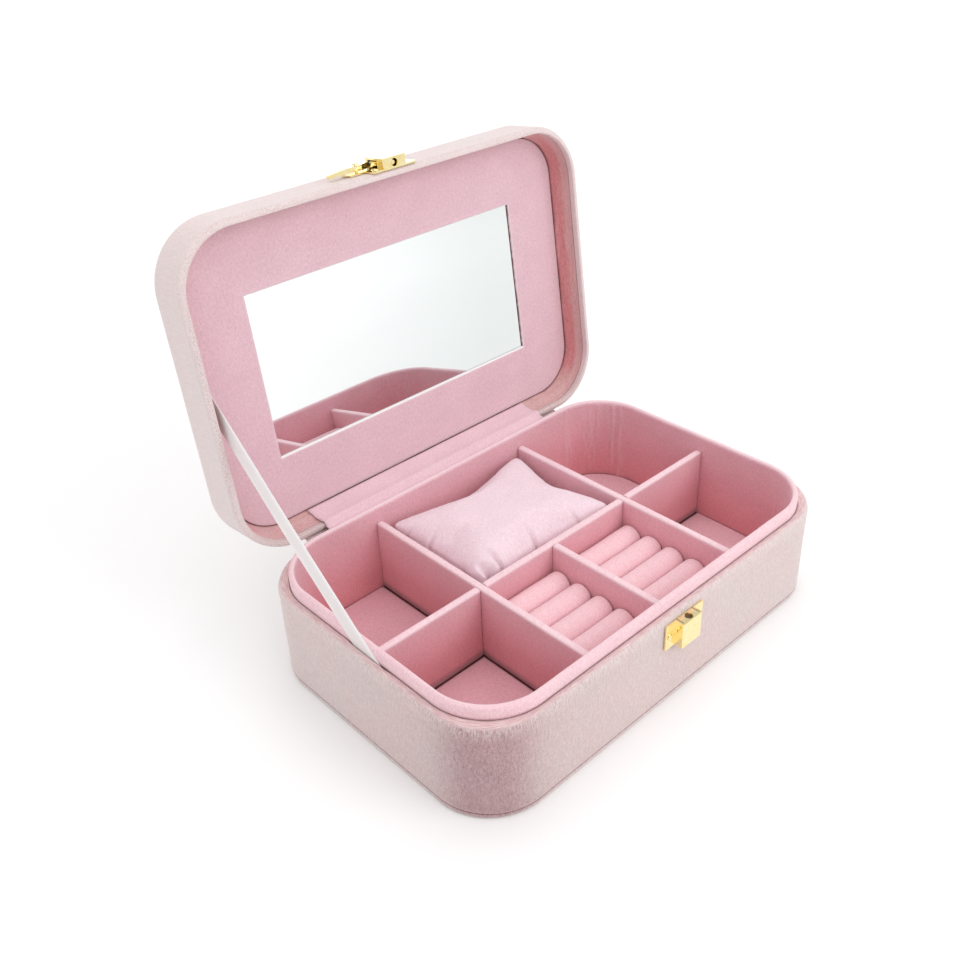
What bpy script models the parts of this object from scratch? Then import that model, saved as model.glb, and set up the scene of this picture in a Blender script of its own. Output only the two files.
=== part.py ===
# Travel jewelry case, shown with its lid open against the ribbon stay.
# Frame: origin at the centre of the base's underside, +X to the right along the front,
# +Y towards the hinge at the back, +Z up. Lengths below are in millimetres and are
# turned into metres as each body is made.
import math

import bmesh
import bpy
from mathutils import Matrix, Vector

MM = 0.001
GAP = 0.3

# Outline of the case seen from above.
CASE_HALF_X = 110.0
CASE_HALF_Y = 72.0
CASE_CORNER_R = 27.5
CORNER_STEPS = 8

# Outline of the lining collar that stands up out of the base.
COLLAR_HALF_X = 106.4
COLLAR_HALF_Y = 68.8
COLLAR_CORNER_R = 28.5
COLLAR_T = 2.6
COLLAR_TOP = 52.33

# Heights of the base.
BASE_RIM = 46.4
WRAP_T = 0.8
FLOOR_BOARD_BOTTOM = 1.5
FLOOR_BOARD_TOP = 3.5
FLOOR_PAD_TOP = 8.0

# Dividers.
DIVIDER_HALF_T = 1.7
DIVIDER_TOP = 44.3
DIVIDER_BOTTOM = FLOOR_PAD_TOP + GAP
SIDE_DIVIDER_X = 45.6
CROSS_DIVIDER_Y = -2.0
RING_DIVIDER_X = -2.6
INNER_HALF_X = COLLAR_HALF_X - COLLAR_T
INNER_HALF_Y = COLLAR_HALF_Y - COLLAR_T

# Ring rolls.
ROLL_R = 6.0
ROLL_PITCH = 12.3
ROLL_COUNT = 5
ROLL_AXIS_Z = 27.4
ROLL_BED_TOP = ROLL_AXIS_Z - ROLL_R - GAP

# Watch cushion.
CUSHION_HALF_X = 43.3
CUSHION_HALF_Y = 32.4
CUSHION_Y = 32.9
CUSHION_SEAM_Z = 27.0
CUSHION_RISE = 21.0
CUSHION_DROP = 18.6

# Lid, described closed and then turned open about the hinge.
LID_RIM = 46.7
LID_TOP = 70.7
WINDOW_X = -1.05
WINDOW_HALF_X = 74.95
WINDOW_HALF_Y = 36.8
HINGE_Y = 73.5
HINGE_Z = 47.2
LID_OPEN_DEG = 97.0

# Clasp on the front wall.
FRONT_Y = -CASE_HALF_Y
BOLT_Y = -74.75
PIVOT_X = -14.0
PIVOT_Z = 56.0


def clear_scene():
    for obj in list(bpy.data.objects):
        bpy.data.objects.remove(obj, do_unlink=True)


def make_material(name, color, rough=0.6, metallic=0.0):
    mat = bpy.data.materials.new(name)
    mat.use_nodes = True
    shader = mat.node_tree.nodes["Principled BSDF"]
    shader.inputs["Base Color"].default_value = (*color, 1.0)
    shader.inputs["Roughness"].default_value = rough
    shader.inputs["Metallic"].default_value = metallic
    return mat


MATERIALS = {}


def setup_materials():
    MATERIALS["velvet"] = make_material("champagne_velvet", (0.72, 0.60, 0.57), 0.9)
    MATERIALS["suede"] = make_material("pink_suede", (0.72, 0.38, 0.42), 0.9)
    MATERIALS["cushion"] = make_material("pale_pink_cloth", (0.82, 0.64, 0.68), 0.85)
    MATERIALS["roll"] = make_material("pink_plush", (0.83, 0.55, 0.58), 0.9)
    MATERIALS["ribbon"] = make_material("satin_ribbon", (0.75, 0.71, 0.71), 0.4)
    MATERIALS["board"] = make_material("grey_board", (0.42, 0.40, 0.37), 0.9)
    MATERIALS["foam"] = make_material("padding", (0.80, 0.78, 0.72), 0.95)
    MATERIALS["mirror"] = make_material("mirror_glass", (0.92, 0.94, 0.94), 0.02, 1.0)
    MATERIALS["brass"] = make_material("gold_plate", (0.90, 0.68, 0.25), 0.2, 1.0)
    MATERIALS["paper"] = make_material("bottom_paper", (0.66, 0.55, 0.52), 0.9)


def outline(half_x, half_y, radius, z, steps=CORNER_STEPS):
    """Points of a rounded rectangle, anticlockwise seen from above."""
    corners = ((1, 1, 0), (-1, 1, 90), (-1, -1, 180), (1, -1, 270))
    points = []
    for sx, sy, start in corners:
        cx = sx * (half_x - radius)
        cy = sy * (half_y - radius)
        for i in range(steps + 1):
            a = math.radians(start + 90.0 * i / steps)
            points.append((cx + radius * math.cos(a), cy + radius * math.sin(a), z))
    return points


def window(grow, z):
    """Outline of the mirror opening in the closed lid, moved outwards by grow."""
    points = outline(WINDOW_HALF_X + grow, WINDOW_HALF_Y + grow, 0.6, z)
    return [(x + WINDOW_X, y, level) for x, y, level in points]


def case(inset, z):
    """Case outline moved inwards by inset."""
    return outline(CASE_HALF_X - inset, CASE_HALF_Y - inset, CASE_CORNER_R - inset, z)


def collar(inset, z):
    """Collar outline moved inwards by inset."""
    return outline(COLLAR_HALF_X - inset, COLLAR_HALF_Y - inset, COLLAR_CORNER_R - inset, z)


def add_object(name, verts, faces, material, smooth=True, origin=(0.0, 0.0, 0.0)):
    """Make one closed mesh object, its origin at the given point in millimetres."""
    shift = Vector(origin)
    mesh = bpy.data.meshes.new(name)
    mesh.from_pydata([(Vector(v) - shift) * MM for v in verts], [], faces)
    mesh.materials.append(MATERIALS[material])
    obj = bpy.data.objects.new(name, mesh)
    obj.location = shift * MM
    bpy.context.scene.collection.objects.link(obj)
    recalc_normals(mesh)
    for poly in mesh.polygons:
        poly.use_smooth = smooth
    if smooth:
        mark_sharp_edges(mesh)
    return obj


def recalc_normals(mesh):
    bm = bmesh.new()
    bm.from_mesh(mesh)
    bmesh.ops.recalc_face_normals(bm, faces=bm.faces)
    if bm.calc_volume(signed=True) < 0.0:
        bmesh.ops.reverse_faces(bm, faces=bm.faces)
    bm.to_mesh(mesh)
    bm.free()


def mark_sharp_edges(mesh, angle=40.0):
    bm = bmesh.new()
    bm.from_mesh(mesh)
    for edge in bm.edges:
        if len(edge.link_faces) == 2:
            edge.smooth = edge.calc_face_angle(0.0) < math.radians(angle)
    bm.to_mesh(mesh)
    bm.free()


def loft(name, rings, material, closed, smooth=True, origin=(0.0, 0.0, 0.0)):
    """Skin a row of equal rings. closed joins last to first; otherwise both ends are capped."""
    n = len(rings[0])
    verts = [p for ring in rings for p in ring]
    faces = []
    count = len(rings)
    spans = count if closed else count - 1
    for r in range(spans):
        a = r * n
        b = ((r + 1) % count) * n
        for i in range(n):
            j = (i + 1) % n
            faces.append((a + i, a + j, b + j, b + i))
    if not closed:
        faces.append(tuple(range(n)))
        faces.append(tuple(reversed(range((count - 1) * n, count * n))))
    return add_object(name, verts, faces, material, smooth, origin)


def prism(name, profile, axis, low, high, material, smooth=False, origin=(0.0, 0.0, 0.0)):
    """Extrude a closed 2D profile along one axis (0 = X, 1 = Y, 2 = Z)."""
    order = {0: (1, 2), 1: (0, 2), 2: (0, 1)}[axis]
    rings = []
    for level in (low, high):
        ring = []
        for a, b in profile:
            p = [0.0, 0.0, 0.0]
            p[axis] = level
            p[order[0]] = a
            p[order[1]] = b
            ring.append(tuple(p))
        rings.append(ring)
    return loft(name, rings, material, False, smooth, origin)


def circle(cx, cy, radius, steps):
    """Closed circle profile."""
    return [(cx + radius * math.cos(2.0 * math.pi * i / steps),
             cy + radius * math.sin(2.0 * math.pi * i / steps)) for i in range(steps)]


def turned(name, stations, axis, centre, material, steps=20, origin=(0.0, 0.0, 0.0)):
    """Round body: stations are (position along axis, radius), capped at both ends."""
    order = {0: (1, 2), 1: (0, 2), 2: (0, 1)}[axis]
    rings = []
    for level, radius in stations:
        ring = []
        for a, b in circle(centre[0], centre[1], radius, steps):
            p = [0.0, 0.0, 0.0]
            p[axis] = level
            p[order[0]] = a
            p[order[1]] = b
            ring.append(tuple(p))
        rings.append(ring)
    return loft(name, rings, material, False, True, origin)


def box_profile(a0, a1, b0, b1):
    return [(a0, b0), (a1, b0), (a1, b1), (a0, b1)]


def apply_boolean(obj, cutter, operation):
    """Run one exact boolean and keep only the result."""
    mod = obj.modifiers.new("cut", "BOOLEAN")
    mod.operation = operation
    mod.solver = "EXACT"
    mod.object = cutter
    depsgraph = bpy.context.evaluated_depsgraph_get()
    mesh = bpy.data.meshes.new_from_object(obj.evaluated_get(depsgraph))
    obj.modifiers.clear()
    old = obj.data
    obj.data = mesh
    mesh.name = old.name
    bpy.data.meshes.remove(old)
    bpy.data.objects.remove(cutter, do_unlink=True)


def open_lid(obj):
    """Turn a body drawn closed to the open position, its origin on the hinge axis."""
    pivot = Vector((0.0, HINGE_Y, HINGE_Z)) * MM
    turn = Matrix.Rotation(-math.radians(LID_OPEN_DEG), 4, "X")
    obj.data.transform(Matrix.Translation(obj.location - pivot))
    obj.data.transform(turn)
    obj.location = pivot
    return obj


def rehome(obj, point):
    """Move the object's origin to a point in millimetres without moving its shape."""
    target = Vector(point) * MM
    obj.data.transform(Matrix.Translation(obj.location - target))
    obj.location = target
    return obj


def opened(x, y, z):
    """Where a point of the closed lid goes when the lid is open."""
    a = math.radians(LID_OPEN_DEG)
    dy = y - HINGE_Y
    dz = z - HINGE_Z
    return (x, HINGE_Y + dy * math.cos(a) + dz * math.sin(a),
            HINGE_Z - dy * math.sin(a) + dz * math.cos(a))


def build_base_shell():
    """Bottom cover, boards and the velvet that wraps the wall and turns over the rim."""
    loft("base_bottom_cover", [case(1.0, 0.0), case(0.6, 0.35), case(0.6, 1.2)], "paper", False)
    loft("base_floor_board", [case(1.1, FLOOR_BOARD_BOTTOM), case(1.1, FLOOR_BOARD_TOP)],
         "board", False)
    wall = [case(1.1, 3.8), case(1.1, 45.5), case(2.4, 45.5), case(2.4, 3.8)]
    loft("base_wall_board", wall, "board", True)
    wrap = [case(WRAP_T, 1.5), case(0.3, 1.5), case(0.0, 1.9), case(0.0, 45.1),
            case(0.35, 46.0), case(1.2, BASE_RIM), collar(-0.9, BASE_RIM),
            collar(-0.7, 46.2), collar(-0.7, 45.8), case(WRAP_T, 45.8)]
    loft("base_velvet_wrap", wrap, "velvet", True)


def build_lining():
    """Suede lining wall with its raised collar, and the floor pad inside it."""
    ring = [collar(0.0, 3.8), collar(0.0, 51.2), collar(0.45, 52.0), collar(1.3, COLLAR_TOP),
            collar(2.15, 52.0), collar(COLLAR_T, 51.2), collar(COLLAR_T, 3.8)]
    loft("liner_collar", ring, "suede", True)
    inner = COLLAR_T + GAP
    pad = [collar(inner, 3.8), collar(inner, 7.5), collar(inner + 0.6, FLOOR_PAD_TOP)]
    loft("base_floor_pad", pad, "suede", False)


def divider_profile(centre):
    """Upright card with a rounded top edge."""
    t = DIVIDER_HALF_T
    top = DIVIDER_TOP
    low = DIVIDER_BOTTOM
    return [(centre - t, low), (centre + t, low), (centre + t, top - 1.1),
            (centre + t * 0.72, top - 0.3), (centre, top), (centre - t * 0.72, top - 0.3),
            (centre - t, top - 1.1)]


def build_dividers():
    """Two full-depth dividers, three cross dividers and the one between the ring slots."""
    reach_y = INNER_HALF_Y - GAP
    reach_x = INNER_HALF_X - GAP
    side = SIDE_DIVIDER_X
    t = DIVIDER_HALF_T
    prism("divider_left", divider_profile(-side), 1, -reach_y, reach_y, "suede")
    prism("divider_right", divider_profile(side), 1, -reach_y, reach_y, "suede")
    cross = divider_profile(CROSS_DIVIDER_Y)
    prism("cross_divider_left", cross, 0, -reach_x, -side - t - GAP, "suede")
    prism("cross_divider_middle", cross, 0, -side + t + GAP, side - t - GAP, "suede")
    prism("cross_divider_right", cross, 0, side + t + GAP, reach_x, "suede")
    prism("ring_divider", divider_profile(RING_DIVIDER_X), 1, -reach_y,
          CROSS_DIVIDER_Y - t - GAP, "suede")


def build_ring_slots():
    """Padded bed and five soft rolls in each of the two ring compartments."""
    t = DIVIDER_HALF_T
    spans = {"left": (-SIDE_DIVIDER_X + t + GAP, RING_DIVIDER_X - t - GAP),
             "right": (RING_DIVIDER_X + t + GAP, SIDE_DIVIDER_X - t - GAP)}
    back = CROSS_DIVIDER_Y - t - GAP
    front = -INNER_HALF_Y + GAP
    for side, (x0, x1) in spans.items():
        profile = box_profile(front, back, DIVIDER_BOTTOM, ROLL_BED_TOP)
        prism("ring_bed_" + side, profile, 0, x0, x1, "foam")
        for i in range(ROLL_COUNT):
            y = back - ROLL_PITCH * (i + 0.5)
            stations = [(x0, ROLL_R - 1.2), (x0 + 0.4, ROLL_R - 0.35), (x0 + 1.3, ROLL_R),
                        (x1 - 1.3, ROLL_R), (x1 - 0.4, ROLL_R - 0.35), (x1, ROLL_R - 1.2)]
            turned("ring_roll_%s_%d" % (side, i + 1), stations, 0, (y, ROLL_AXIS_Z), "roll", 18)


def cushion_height(u, v):
    """Fullness of the cushion, 1 in the middle and 0 at its seam."""
    return ((1.0 - u ** 4) * (1.0 - v ** 4)) ** 0.55


def build_watch_cushion():
    """Loose square cushion, its seam running round half way up."""
    nu = 14
    nv = 12
    verts = []
    index = {}
    faces = []

    def vertex(i, j, side):
        border = i in (0, nu) or j in (0, nv)
        key = (i, j, 0 if border else side)
        if key not in index:
            u = math.sin(0.5 * math.pi * (2.0 * i / nu - 1.0))
            v = math.sin(0.5 * math.pi * (2.0 * j / nv - 1.0))
            pinch = 1.0 - 0.07 * (u * u * (1.0 - v * v))
            pull = 1.0 - 0.07 * (v * v * (1.0 - u * u))
            full = cushion_height(u, v)
            rise = CUSHION_RISE if side > 0 else -CUSHION_DROP
            z = CUSHION_SEAM_Z + rise * full
            verts.append((CUSHION_HALF_X * u * pinch, CUSHION_Y + CUSHION_HALF_Y * v * pull, z))
            index[key] = len(verts) - 1
        return index[key]

    for side in (1, -1):
        for i in range(nu):
            for j in range(nv):
                quad = [vertex(i, j, side), vertex(i + 1, j, side),
                        vertex(i + 1, j + 1, side), vertex(i, j + 1, side)]
                faces.append(quad if side > 0 else list(reversed(quad)))
    add_object("watch_cushion", verts, faces, "cushion", True, (0.0, CUSHION_Y, CUSHION_SEAM_Z))


def build_lid_shell():
    """Velvet cap, its boards and the padding that rounds the top."""
    wrap = [case(5.2, LID_TOP), case(3.2, 70.35), case(1.5, 69.4), case(0.45, 68.0),
            case(0.0, 66.2), case(0.0, 47.9), case(0.35, 47.1), case(1.2, LID_RIM),
            case(2.7, LID_RIM), case(2.9, 46.95), case(2.9, 47.3), case(WRAP_T, 47.3),
            case(WRAP_T, 66.2), case(1.25, 67.6), case(2.2, 68.8), case(3.6, 69.6),
            case(5.4, 69.9)]
    open_lid(loft("lid_velvet_wrap", wrap, "velvet", False))
    wall = [case(1.1, 47.6), case(1.1, 64.3), case(2.0, 64.3), case(2.0, 47.6)]
    open_lid(loft("lid_wall_board", wall, "board", True))
    open_lid(loft("lid_top_board", [case(1.1, 64.6), case(1.1, 66.1)], "board", False))
    pad = [case(1.3, 66.4), case(1.7, 67.5), case(2.7, 68.6), case(4.0, 69.3), case(5.4, 69.6)]
    open_lid(loft("lid_top_padding", pad, "foam", False))


def build_lid_lining():
    """Padded side lining and the mirror sandwich behind the suede panel."""
    ring = [case(2.3, 47.6), case(2.9, 47.6), case(2.9, 53.2), case(5.3, 59.9),
            case(5.3, 64.3), case(2.3, 64.3)]
    open_lid(loft("lid_liner_wall", ring, "suede", True))
    panel = [case(6.1, 60.2), case(6.1, 61.1), window(0.0, 61.1), window(0.0, 60.2)]
    open_lid(loft("mirror_panel", panel, "suede", True, False))
    spacer = [case(6.3, 61.4), case(6.3, 62.9), window(4.2, 62.9), window(4.2, 61.4)]
    open_lid(loft("mirror_spacer_board", spacer, "board", True, False))
    glass = [window(3.8, 61.4), window(3.8, 62.9)]
    open_lid(loft("mirror_glass", glass, "mirror", False, False))
    open_lid(loft("mirror_backing_board", [case(6.3, 63.2), case(6.3, 64.3)], "board", False))


def strip_along(name, path, thickness, half_x, centre_x, material):
    """Bent sheet: a centre line in the YZ plane given a thickness and a width along X."""
    left = []
    right = []
    for k, (y, z) in enumerate(path):
        before = path[max(k - 1, 0)]
        after = path[min(k + 1, len(path) - 1)]
        dy = after[0] - before[0]
        dz = after[1] - before[1]
        size = math.hypot(dy, dz)
        ny = -dz / size * thickness * 0.5
        nz = dy / size * thickness * 0.5
        left.append((y + ny, z + nz))
        right.append((y - ny, z - nz))
    profile = left + right[::-1]
    return prism(name, profile, 0, centre_x - half_x, centre_x + half_x, material, True)


def build_hinge_strips():
    """Suede strip inside the hinge line and velvet spine strip outside it."""
    rest_on_lining = [opened(0.0, 68.55, 47.9), opened(0.0, 68.5, 52.8), opened(0.0, 66.6, 58.6)]
    inner = [(69.15, 41.0), (69.15, 47.2), (69.5, 49.6), (70.8, 51.4), (72.8, 52.15)]
    inner += [(y, z) for _, y, z in rest_on_lining]
    strip_along("hinge_strip_inner", inner, 0.4, 68.5, -1.5, "suede")
    under_lid = [opened(0.0, 72.55, 49.4), opened(0.0, 72.55, 62.0)]
    outer = [(72.6, 30.0), (72.6, 44.6), (72.85, 46.3), (73.6, 47.5)]
    outer += [(y, z) for _, y, z in under_lid]
    strip_along("hinge_strip_outer", outer, 0.6, 80.0, 0.0, "velvet")


def build_stay_ribbon():
    """Flat satin ribbon from the lid lining down into the groove beside the collar."""
    half_w = 5.0
    half_t = 0.14
    groove_x = -106.75
    leave_z = 51.6
    top = Vector(opened(-104.3, -5.1, 60.5))
    low = Vector((groove_x, -9.6, 40.5))
    run = Vector((0.0, top.y - low.y, top.z - low.z)).normalized()
    across = Vector((0.0, -run.z, run.y))
    rings = []
    steps = 12
    for k in range(steps + 1):
        rise = low.lerp(top, k / steps)
        lean = max(0.0, (rise.z - leave_z) / (top.z - leave_z))
        rise.x = groove_x + (top.x - groove_x) * lean
        ring = []
        for sx, sw in ((-1, -1), (1, -1), (1, 1), (-1, 1)):
            p = rise + across * (half_w * sw)
            ring.append((p.x + half_t * sx, p.y, p.z))
        rings.append(ring)
    loft("stay_ribbon", rings, "ribbon", False, False)


def build_catch():
    """Bent bracket on the base front: two flanges, a raised box and a lip with a hole."""
    z0 = 31.0
    z1 = 43.3
    rivet_z = 36.6
    back = FRONT_Y - 0.25
    plate = back - 0.8
    profile = [(-11.8, back), (-11.8, plate), (-6.0, plate), (-6.0, -76.75),
               (-5.65, -77.1), (5.65, -77.1), (6.0, -76.75), (6.0, plate),
               (11.8, plate), (11.8, back), (5.2, back), (5.2, -76.3), (-5.2, -76.3),
               (-5.2, back)]
    bracket = prism("catch_bracket", profile, 2, z0, z1, "brass")
    tab = prism("tab", box_profile(-4.8, 4.8, -76.6, back - 0.1), 2, z1 - 0.8, z1, "brass")
    apply_boolean(bracket, tab, "UNION")
    hole = prism("hole", circle(0.0, BOLT_Y, 1.8, 20), 2, z1 - 2.0, z1 + 1.0, "brass")
    apply_boolean(bracket, hole, "DIFFERENCE")
    for name, x in (("left", -9.1), ("right", 9.1)):
        cut = prism("cut", circle(x, rivet_z, 0.9, 12), 1, back - 2.0, back + 1.0, "brass")
        apply_boolean(bracket, cut, "DIFFERENCE")
        rivet("catch_rivet_" + name, x, rivet_z, plate)


def rivet(name, x, z, face_y):
    """Round-headed rivet whose shank passes through a plate into the wall covering."""
    stations = [(face_y + 0.75, 0.7), (face_y - 0.05, 0.7), (face_y - 0.051, 1.5),
                (face_y - 0.35, 1.45), (face_y - 0.65, 1.05), (face_y - 0.8, 0.5)]
    return turned(name, stations, 1, (x, z), "brass", 16)


def build_latch():
    """Housing with its bolt and the lever that throws it, on the lid front."""
    z0 = 47.2
    z1 = 59.2
    back = FRONT_Y - 0.25
    plate_face = back - 0.8
    body = prism("latch_housing", box_profile(-11.6, 11.6, plate_face, back), 2, z0, z1, "brass")
    arm = prism("arm", box_profile(-19.5, -11.0, 52.9, z1), 1, plate_face, back, "brass")
    apply_boolean(body, arm, "UNION")
    cap = prism("cap", box_profile(-6.2, 6.2, -77.3, plate_face + 0.4), 2, z0, z1, "brass")
    apply_boolean(body, cap, "UNION")
    hollow = prism("hollow", box_profile(-5.4, 5.4, -76.5, plate_face), 2, z0 + 0.8, z1 - 0.8,
                   "brass")
    apply_boolean(body, hollow, "DIFFERENCE")
    hole = prism("hole", circle(0.0, BOLT_Y, 1.7, 20), 2, z0 - 1.0, z0 + 1.5, "brass")
    apply_boolean(body, hole, "DIFFERENCE")
    window = prism("window", box_profile(-76.4, plate_face - 0.05, 51.3, 57.6), 0, -7.0, -4.9,
                   "brass")
    apply_boolean(body, window, "DIFFERENCE")
    for x, z, r in ((-9.0, 48.9, 0.9), (9.0, 53.2, 0.9), (PIVOT_X, PIVOT_Z, 0.7)):
        cut = prism("cut", circle(x, z, r, 12), 1, back - 2.0, back + 1.0, "brass")
        apply_boolean(body, cut, "DIFFERENCE")
    open_lid(body)
    open_lid(rivet("latch_rivet_left", -9.0, 48.9, plate_face))
    open_lid(rivet("latch_rivet_right", 9.0, 53.2, plate_face))
    pin = [(back + 0.0, 0.55), (-76.3, 0.55), (-76.301, 1.3), (-76.6, 1.25), (-76.85, 0.8)]
    open_lid(turned("latch_pivot_pin", pin, 1, (PIVOT_X, PIVOT_Z), "brass", 16))
    build_bolt()
    build_lever()


def build_bolt():
    """Round bolt with a narrow neck where the lever's fork takes hold of it."""
    stations = [(48.1, 0.9), (48.5, 1.3), (54.8, 1.3), (54.801, 0.6), (57.2, 0.6),
                (57.201, 1.3), (58.1, 1.3)]
    bolt = turned("latch_bolt", stations, 2, (0.0, BOLT_Y), "brass", 16)
    open_lid(rehome(bolt, (0.0, BOLT_Y, PIVOT_Z)))
    rehome(bolt, opened(0.0, BOLT_Y, PIVOT_Z))


def build_lever():
    """Tapered thumb lever ending in a fork around the bolt's neck."""
    top = [(-28.8, 56.8), (-18.0, 57.7), (-12.0, 57.7), (-8.5, 56.6), (1.2, 56.6)]
    low = [(1.2, 55.4), (-8.5, 55.4), (-12.0, 54.3), (-18.0, 54.3), (-28.8, 55.2)]
    lever = prism("latch_lever", top + low, 1, -75.95, -73.55, "brass")
    thin = prism("thin", [(-30.0, -77.0), (-19.5, -77.0), (-19.5, -75.95), (-30.0, -74.9)],
                 2, 53.0, 59.0, "brass")
    apply_boolean(lever, thin, "DIFFERENCE")
    slot = prism("slot", box_profile(-2.0, 2.0, BOLT_Y - 0.8, BOLT_Y + 0.8), 2, 53.0, 59.0,
                 "brass")
    apply_boolean(lever, slot, "DIFFERENCE")
    eye = prism("eye", circle(PIVOT_X, PIVOT_Z, 0.7, 16), 1, -78.0, -72.0, "brass")
    apply_boolean(lever, eye, "DIFFERENCE")
    open_lid(lever)
    rehome(lever, opened(PIVOT_X, BOLT_Y, PIVOT_Z))


def main():
    clear_scene()
    setup_materials()
    build_base_shell()
    build_lining()
    build_dividers()
    build_ring_slots()
    build_watch_cushion()
    build_lid_shell()
    build_lid_lining()
    build_hinge_strips()
    build_stay_ribbon()
    build_catch()
    build_latch()


main()
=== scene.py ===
# Travel jewelry case: cloth, metal, mirror, camera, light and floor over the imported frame.
# Lengths are millimetres in the code and become metres as each mesh is made. Lid pieces are
# drawn with the lid closed and then turned open about the hinge, as the frame stores them.
import math
import random

import bmesh
import bpy
import numpy as np
from mathutils import Matrix, Vector, noise


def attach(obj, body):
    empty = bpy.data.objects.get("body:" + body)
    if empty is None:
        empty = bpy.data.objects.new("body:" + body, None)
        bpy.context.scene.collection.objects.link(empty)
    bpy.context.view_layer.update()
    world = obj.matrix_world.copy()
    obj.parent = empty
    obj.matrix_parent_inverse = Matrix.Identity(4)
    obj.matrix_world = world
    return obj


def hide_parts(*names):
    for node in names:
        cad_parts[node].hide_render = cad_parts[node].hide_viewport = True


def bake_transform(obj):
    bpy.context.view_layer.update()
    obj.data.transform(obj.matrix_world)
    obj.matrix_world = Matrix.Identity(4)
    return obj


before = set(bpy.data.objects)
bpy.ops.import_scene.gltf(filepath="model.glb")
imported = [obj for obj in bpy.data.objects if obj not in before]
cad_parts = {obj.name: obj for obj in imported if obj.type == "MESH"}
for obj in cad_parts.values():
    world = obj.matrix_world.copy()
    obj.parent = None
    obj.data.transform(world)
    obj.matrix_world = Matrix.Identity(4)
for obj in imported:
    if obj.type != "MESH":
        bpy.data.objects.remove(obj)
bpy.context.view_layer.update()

MM = 0.001
# Outlines from above: half length, half width and corner radius.
CASE = (110.0, 72.0, 27.5)
COLLAR = (106.4, 68.8, 28.5)
COLLAR_T = 2.6
UNDERSIDE = 3.9
# The lid's axis in y and z, and how far it stands open.
HINGE = (73.5, 47.2)
OPEN = math.radians(97.0)
SIDE_X = 45.6
CROSS_Y = -2.0
RING_X = -2.6
HALF_T = 1.7
DIVIDER_TOP = 44.3
INNER = (COLLAR[0] - COLLAR_T, COLLAR[1] - COLLAR_T)
FLOOR_Z = 8.0
# Mirror window: centre in x, half length and half width.
WINDOW = (-1.05, 74.95, 36.8)

ROLL_PITCH = 12.3
ROLL_RADIUS = 6.12
ROLL_Z = 27.4
# Watch cushion: half length, half width and centre in y.
PILLOW_BOX = (41.6, 32.2, 32.9)
# How much of a side the rectangle's corner points take up.
TURN = 6.0
CORNERS = ((1, 1), (-1, 1), (-1, -1), (1, -1))
CLOSED = (True, True)

SCENE = bpy.context.scene


# ---------------------------------------------------------------- mesh helpers

def loop(half_x, half_y, radius, counts):
    """Rounded rectangle with the same point count for every inset: (n, 2) array."""
    corner, long_side, short_side = counts
    radius = max(radius, 0.4)
    points = []
    for k, (sx, sy) in enumerate(CORNERS):
        cx, cy = sx * (half_x - radius), sy * (half_y - radius)
        for i in range(corner):
            a = math.radians(90.0 * k + 90.0 * i / corner)
            points.append((cx + radius * math.cos(a), cy + radius * math.sin(a)))
        a = math.radians(90.0 * (k + 1))
        nx, ny = CORNERS[(k + 1) % 4]
        p0 = (cx + radius * math.cos(a), cy + radius * math.sin(a))
        p1 = (nx * (half_x - radius) + radius * math.cos(a),
              ny * (half_y - radius) + radius * math.sin(a))
        steps = long_side if k % 2 == 0 else short_side
        for i in range(steps):
            t = i / steps
            points.append((p0[0] + (p1[0] - p0[0]) * t, p0[1] + (p1[1] - p0[1]) * t))
    return np.array(points)


def ring_at(outline, inset, z, counts):
    """One ring of an outline moved inwards; inset and z may vary along it."""
    base = loop(*outline, counts)
    normal = outward(base)
    inset = np.broadcast_to(np.asarray(inset, float), (len(base),))
    plane = base - normal * inset[:, None]
    if np.ptp(inset) < 1e-9:
        d = float(inset[0])
        plane = loop(outline[0] - d, outline[1] - d, outline[2] - d, counts)
    return np.column_stack([plane, np.broadcast_to(np.asarray(z, float), (len(base),))])


def outward(points):
    """Unit outward normals of an anticlockwise closed outline."""
    tangent = np.roll(points, -1, 0) - np.roll(points, 1, 0)
    tangent /= np.linalg.norm(tangent, axis=1)[:, None]
    return np.column_stack([tangent[:, 1], -tangent[:, 0]])


def along(points):
    """Distance along a closed outline at each point, and its whole length."""
    step = np.linalg.norm(np.roll(points, -1, 0) - points, axis=1)
    return np.concatenate([[0.0], np.cumsum(step)[:-1]]), float(step.sum())


def make_mesh(name, verts, faces, uvs=None, masks=None):
    """Mesh object from millimetre points, with a UV map in millimetres and named masks."""
    mesh = bpy.data.meshes.new(name)
    mesh.from_pydata([tuple(v) for v in np.asarray(verts, float) * MM], [], faces)
    mesh.validate()
    if uvs is not None:
        layer = mesh.uv_layers.new(name="cloth")
        flat = np.array([uv for face in uvs for uv in face], np.float32).ravel()
        layer.data.foreach_set("uv", flat)
    for mask, values in (masks or {}).items():
        attribute = mesh.attributes.new(mask, "FLOAT", "POINT")
        attribute.data.foreach_set("value", np.asarray(values, np.float32))
    mesh.polygons.foreach_set("use_smooth", [True] * len(mesh.polygons))
    obj = bpy.data.objects.new(name, mesh)
    SCENE.collection.objects.link(obj)
    return obj


def fix_normals(obj):
    bm = bmesh.new()
    bm.from_mesh(obj.data)
    bmesh.ops.recalc_face_normals(bm, faces=bm.faces)
    if bm.calc_volume(signed=True) < 0.0:
        bmesh.ops.reverse_faces(bm, faces=bm.faces)
    bm.to_mesh(obj.data)
    bm.free()


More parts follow.
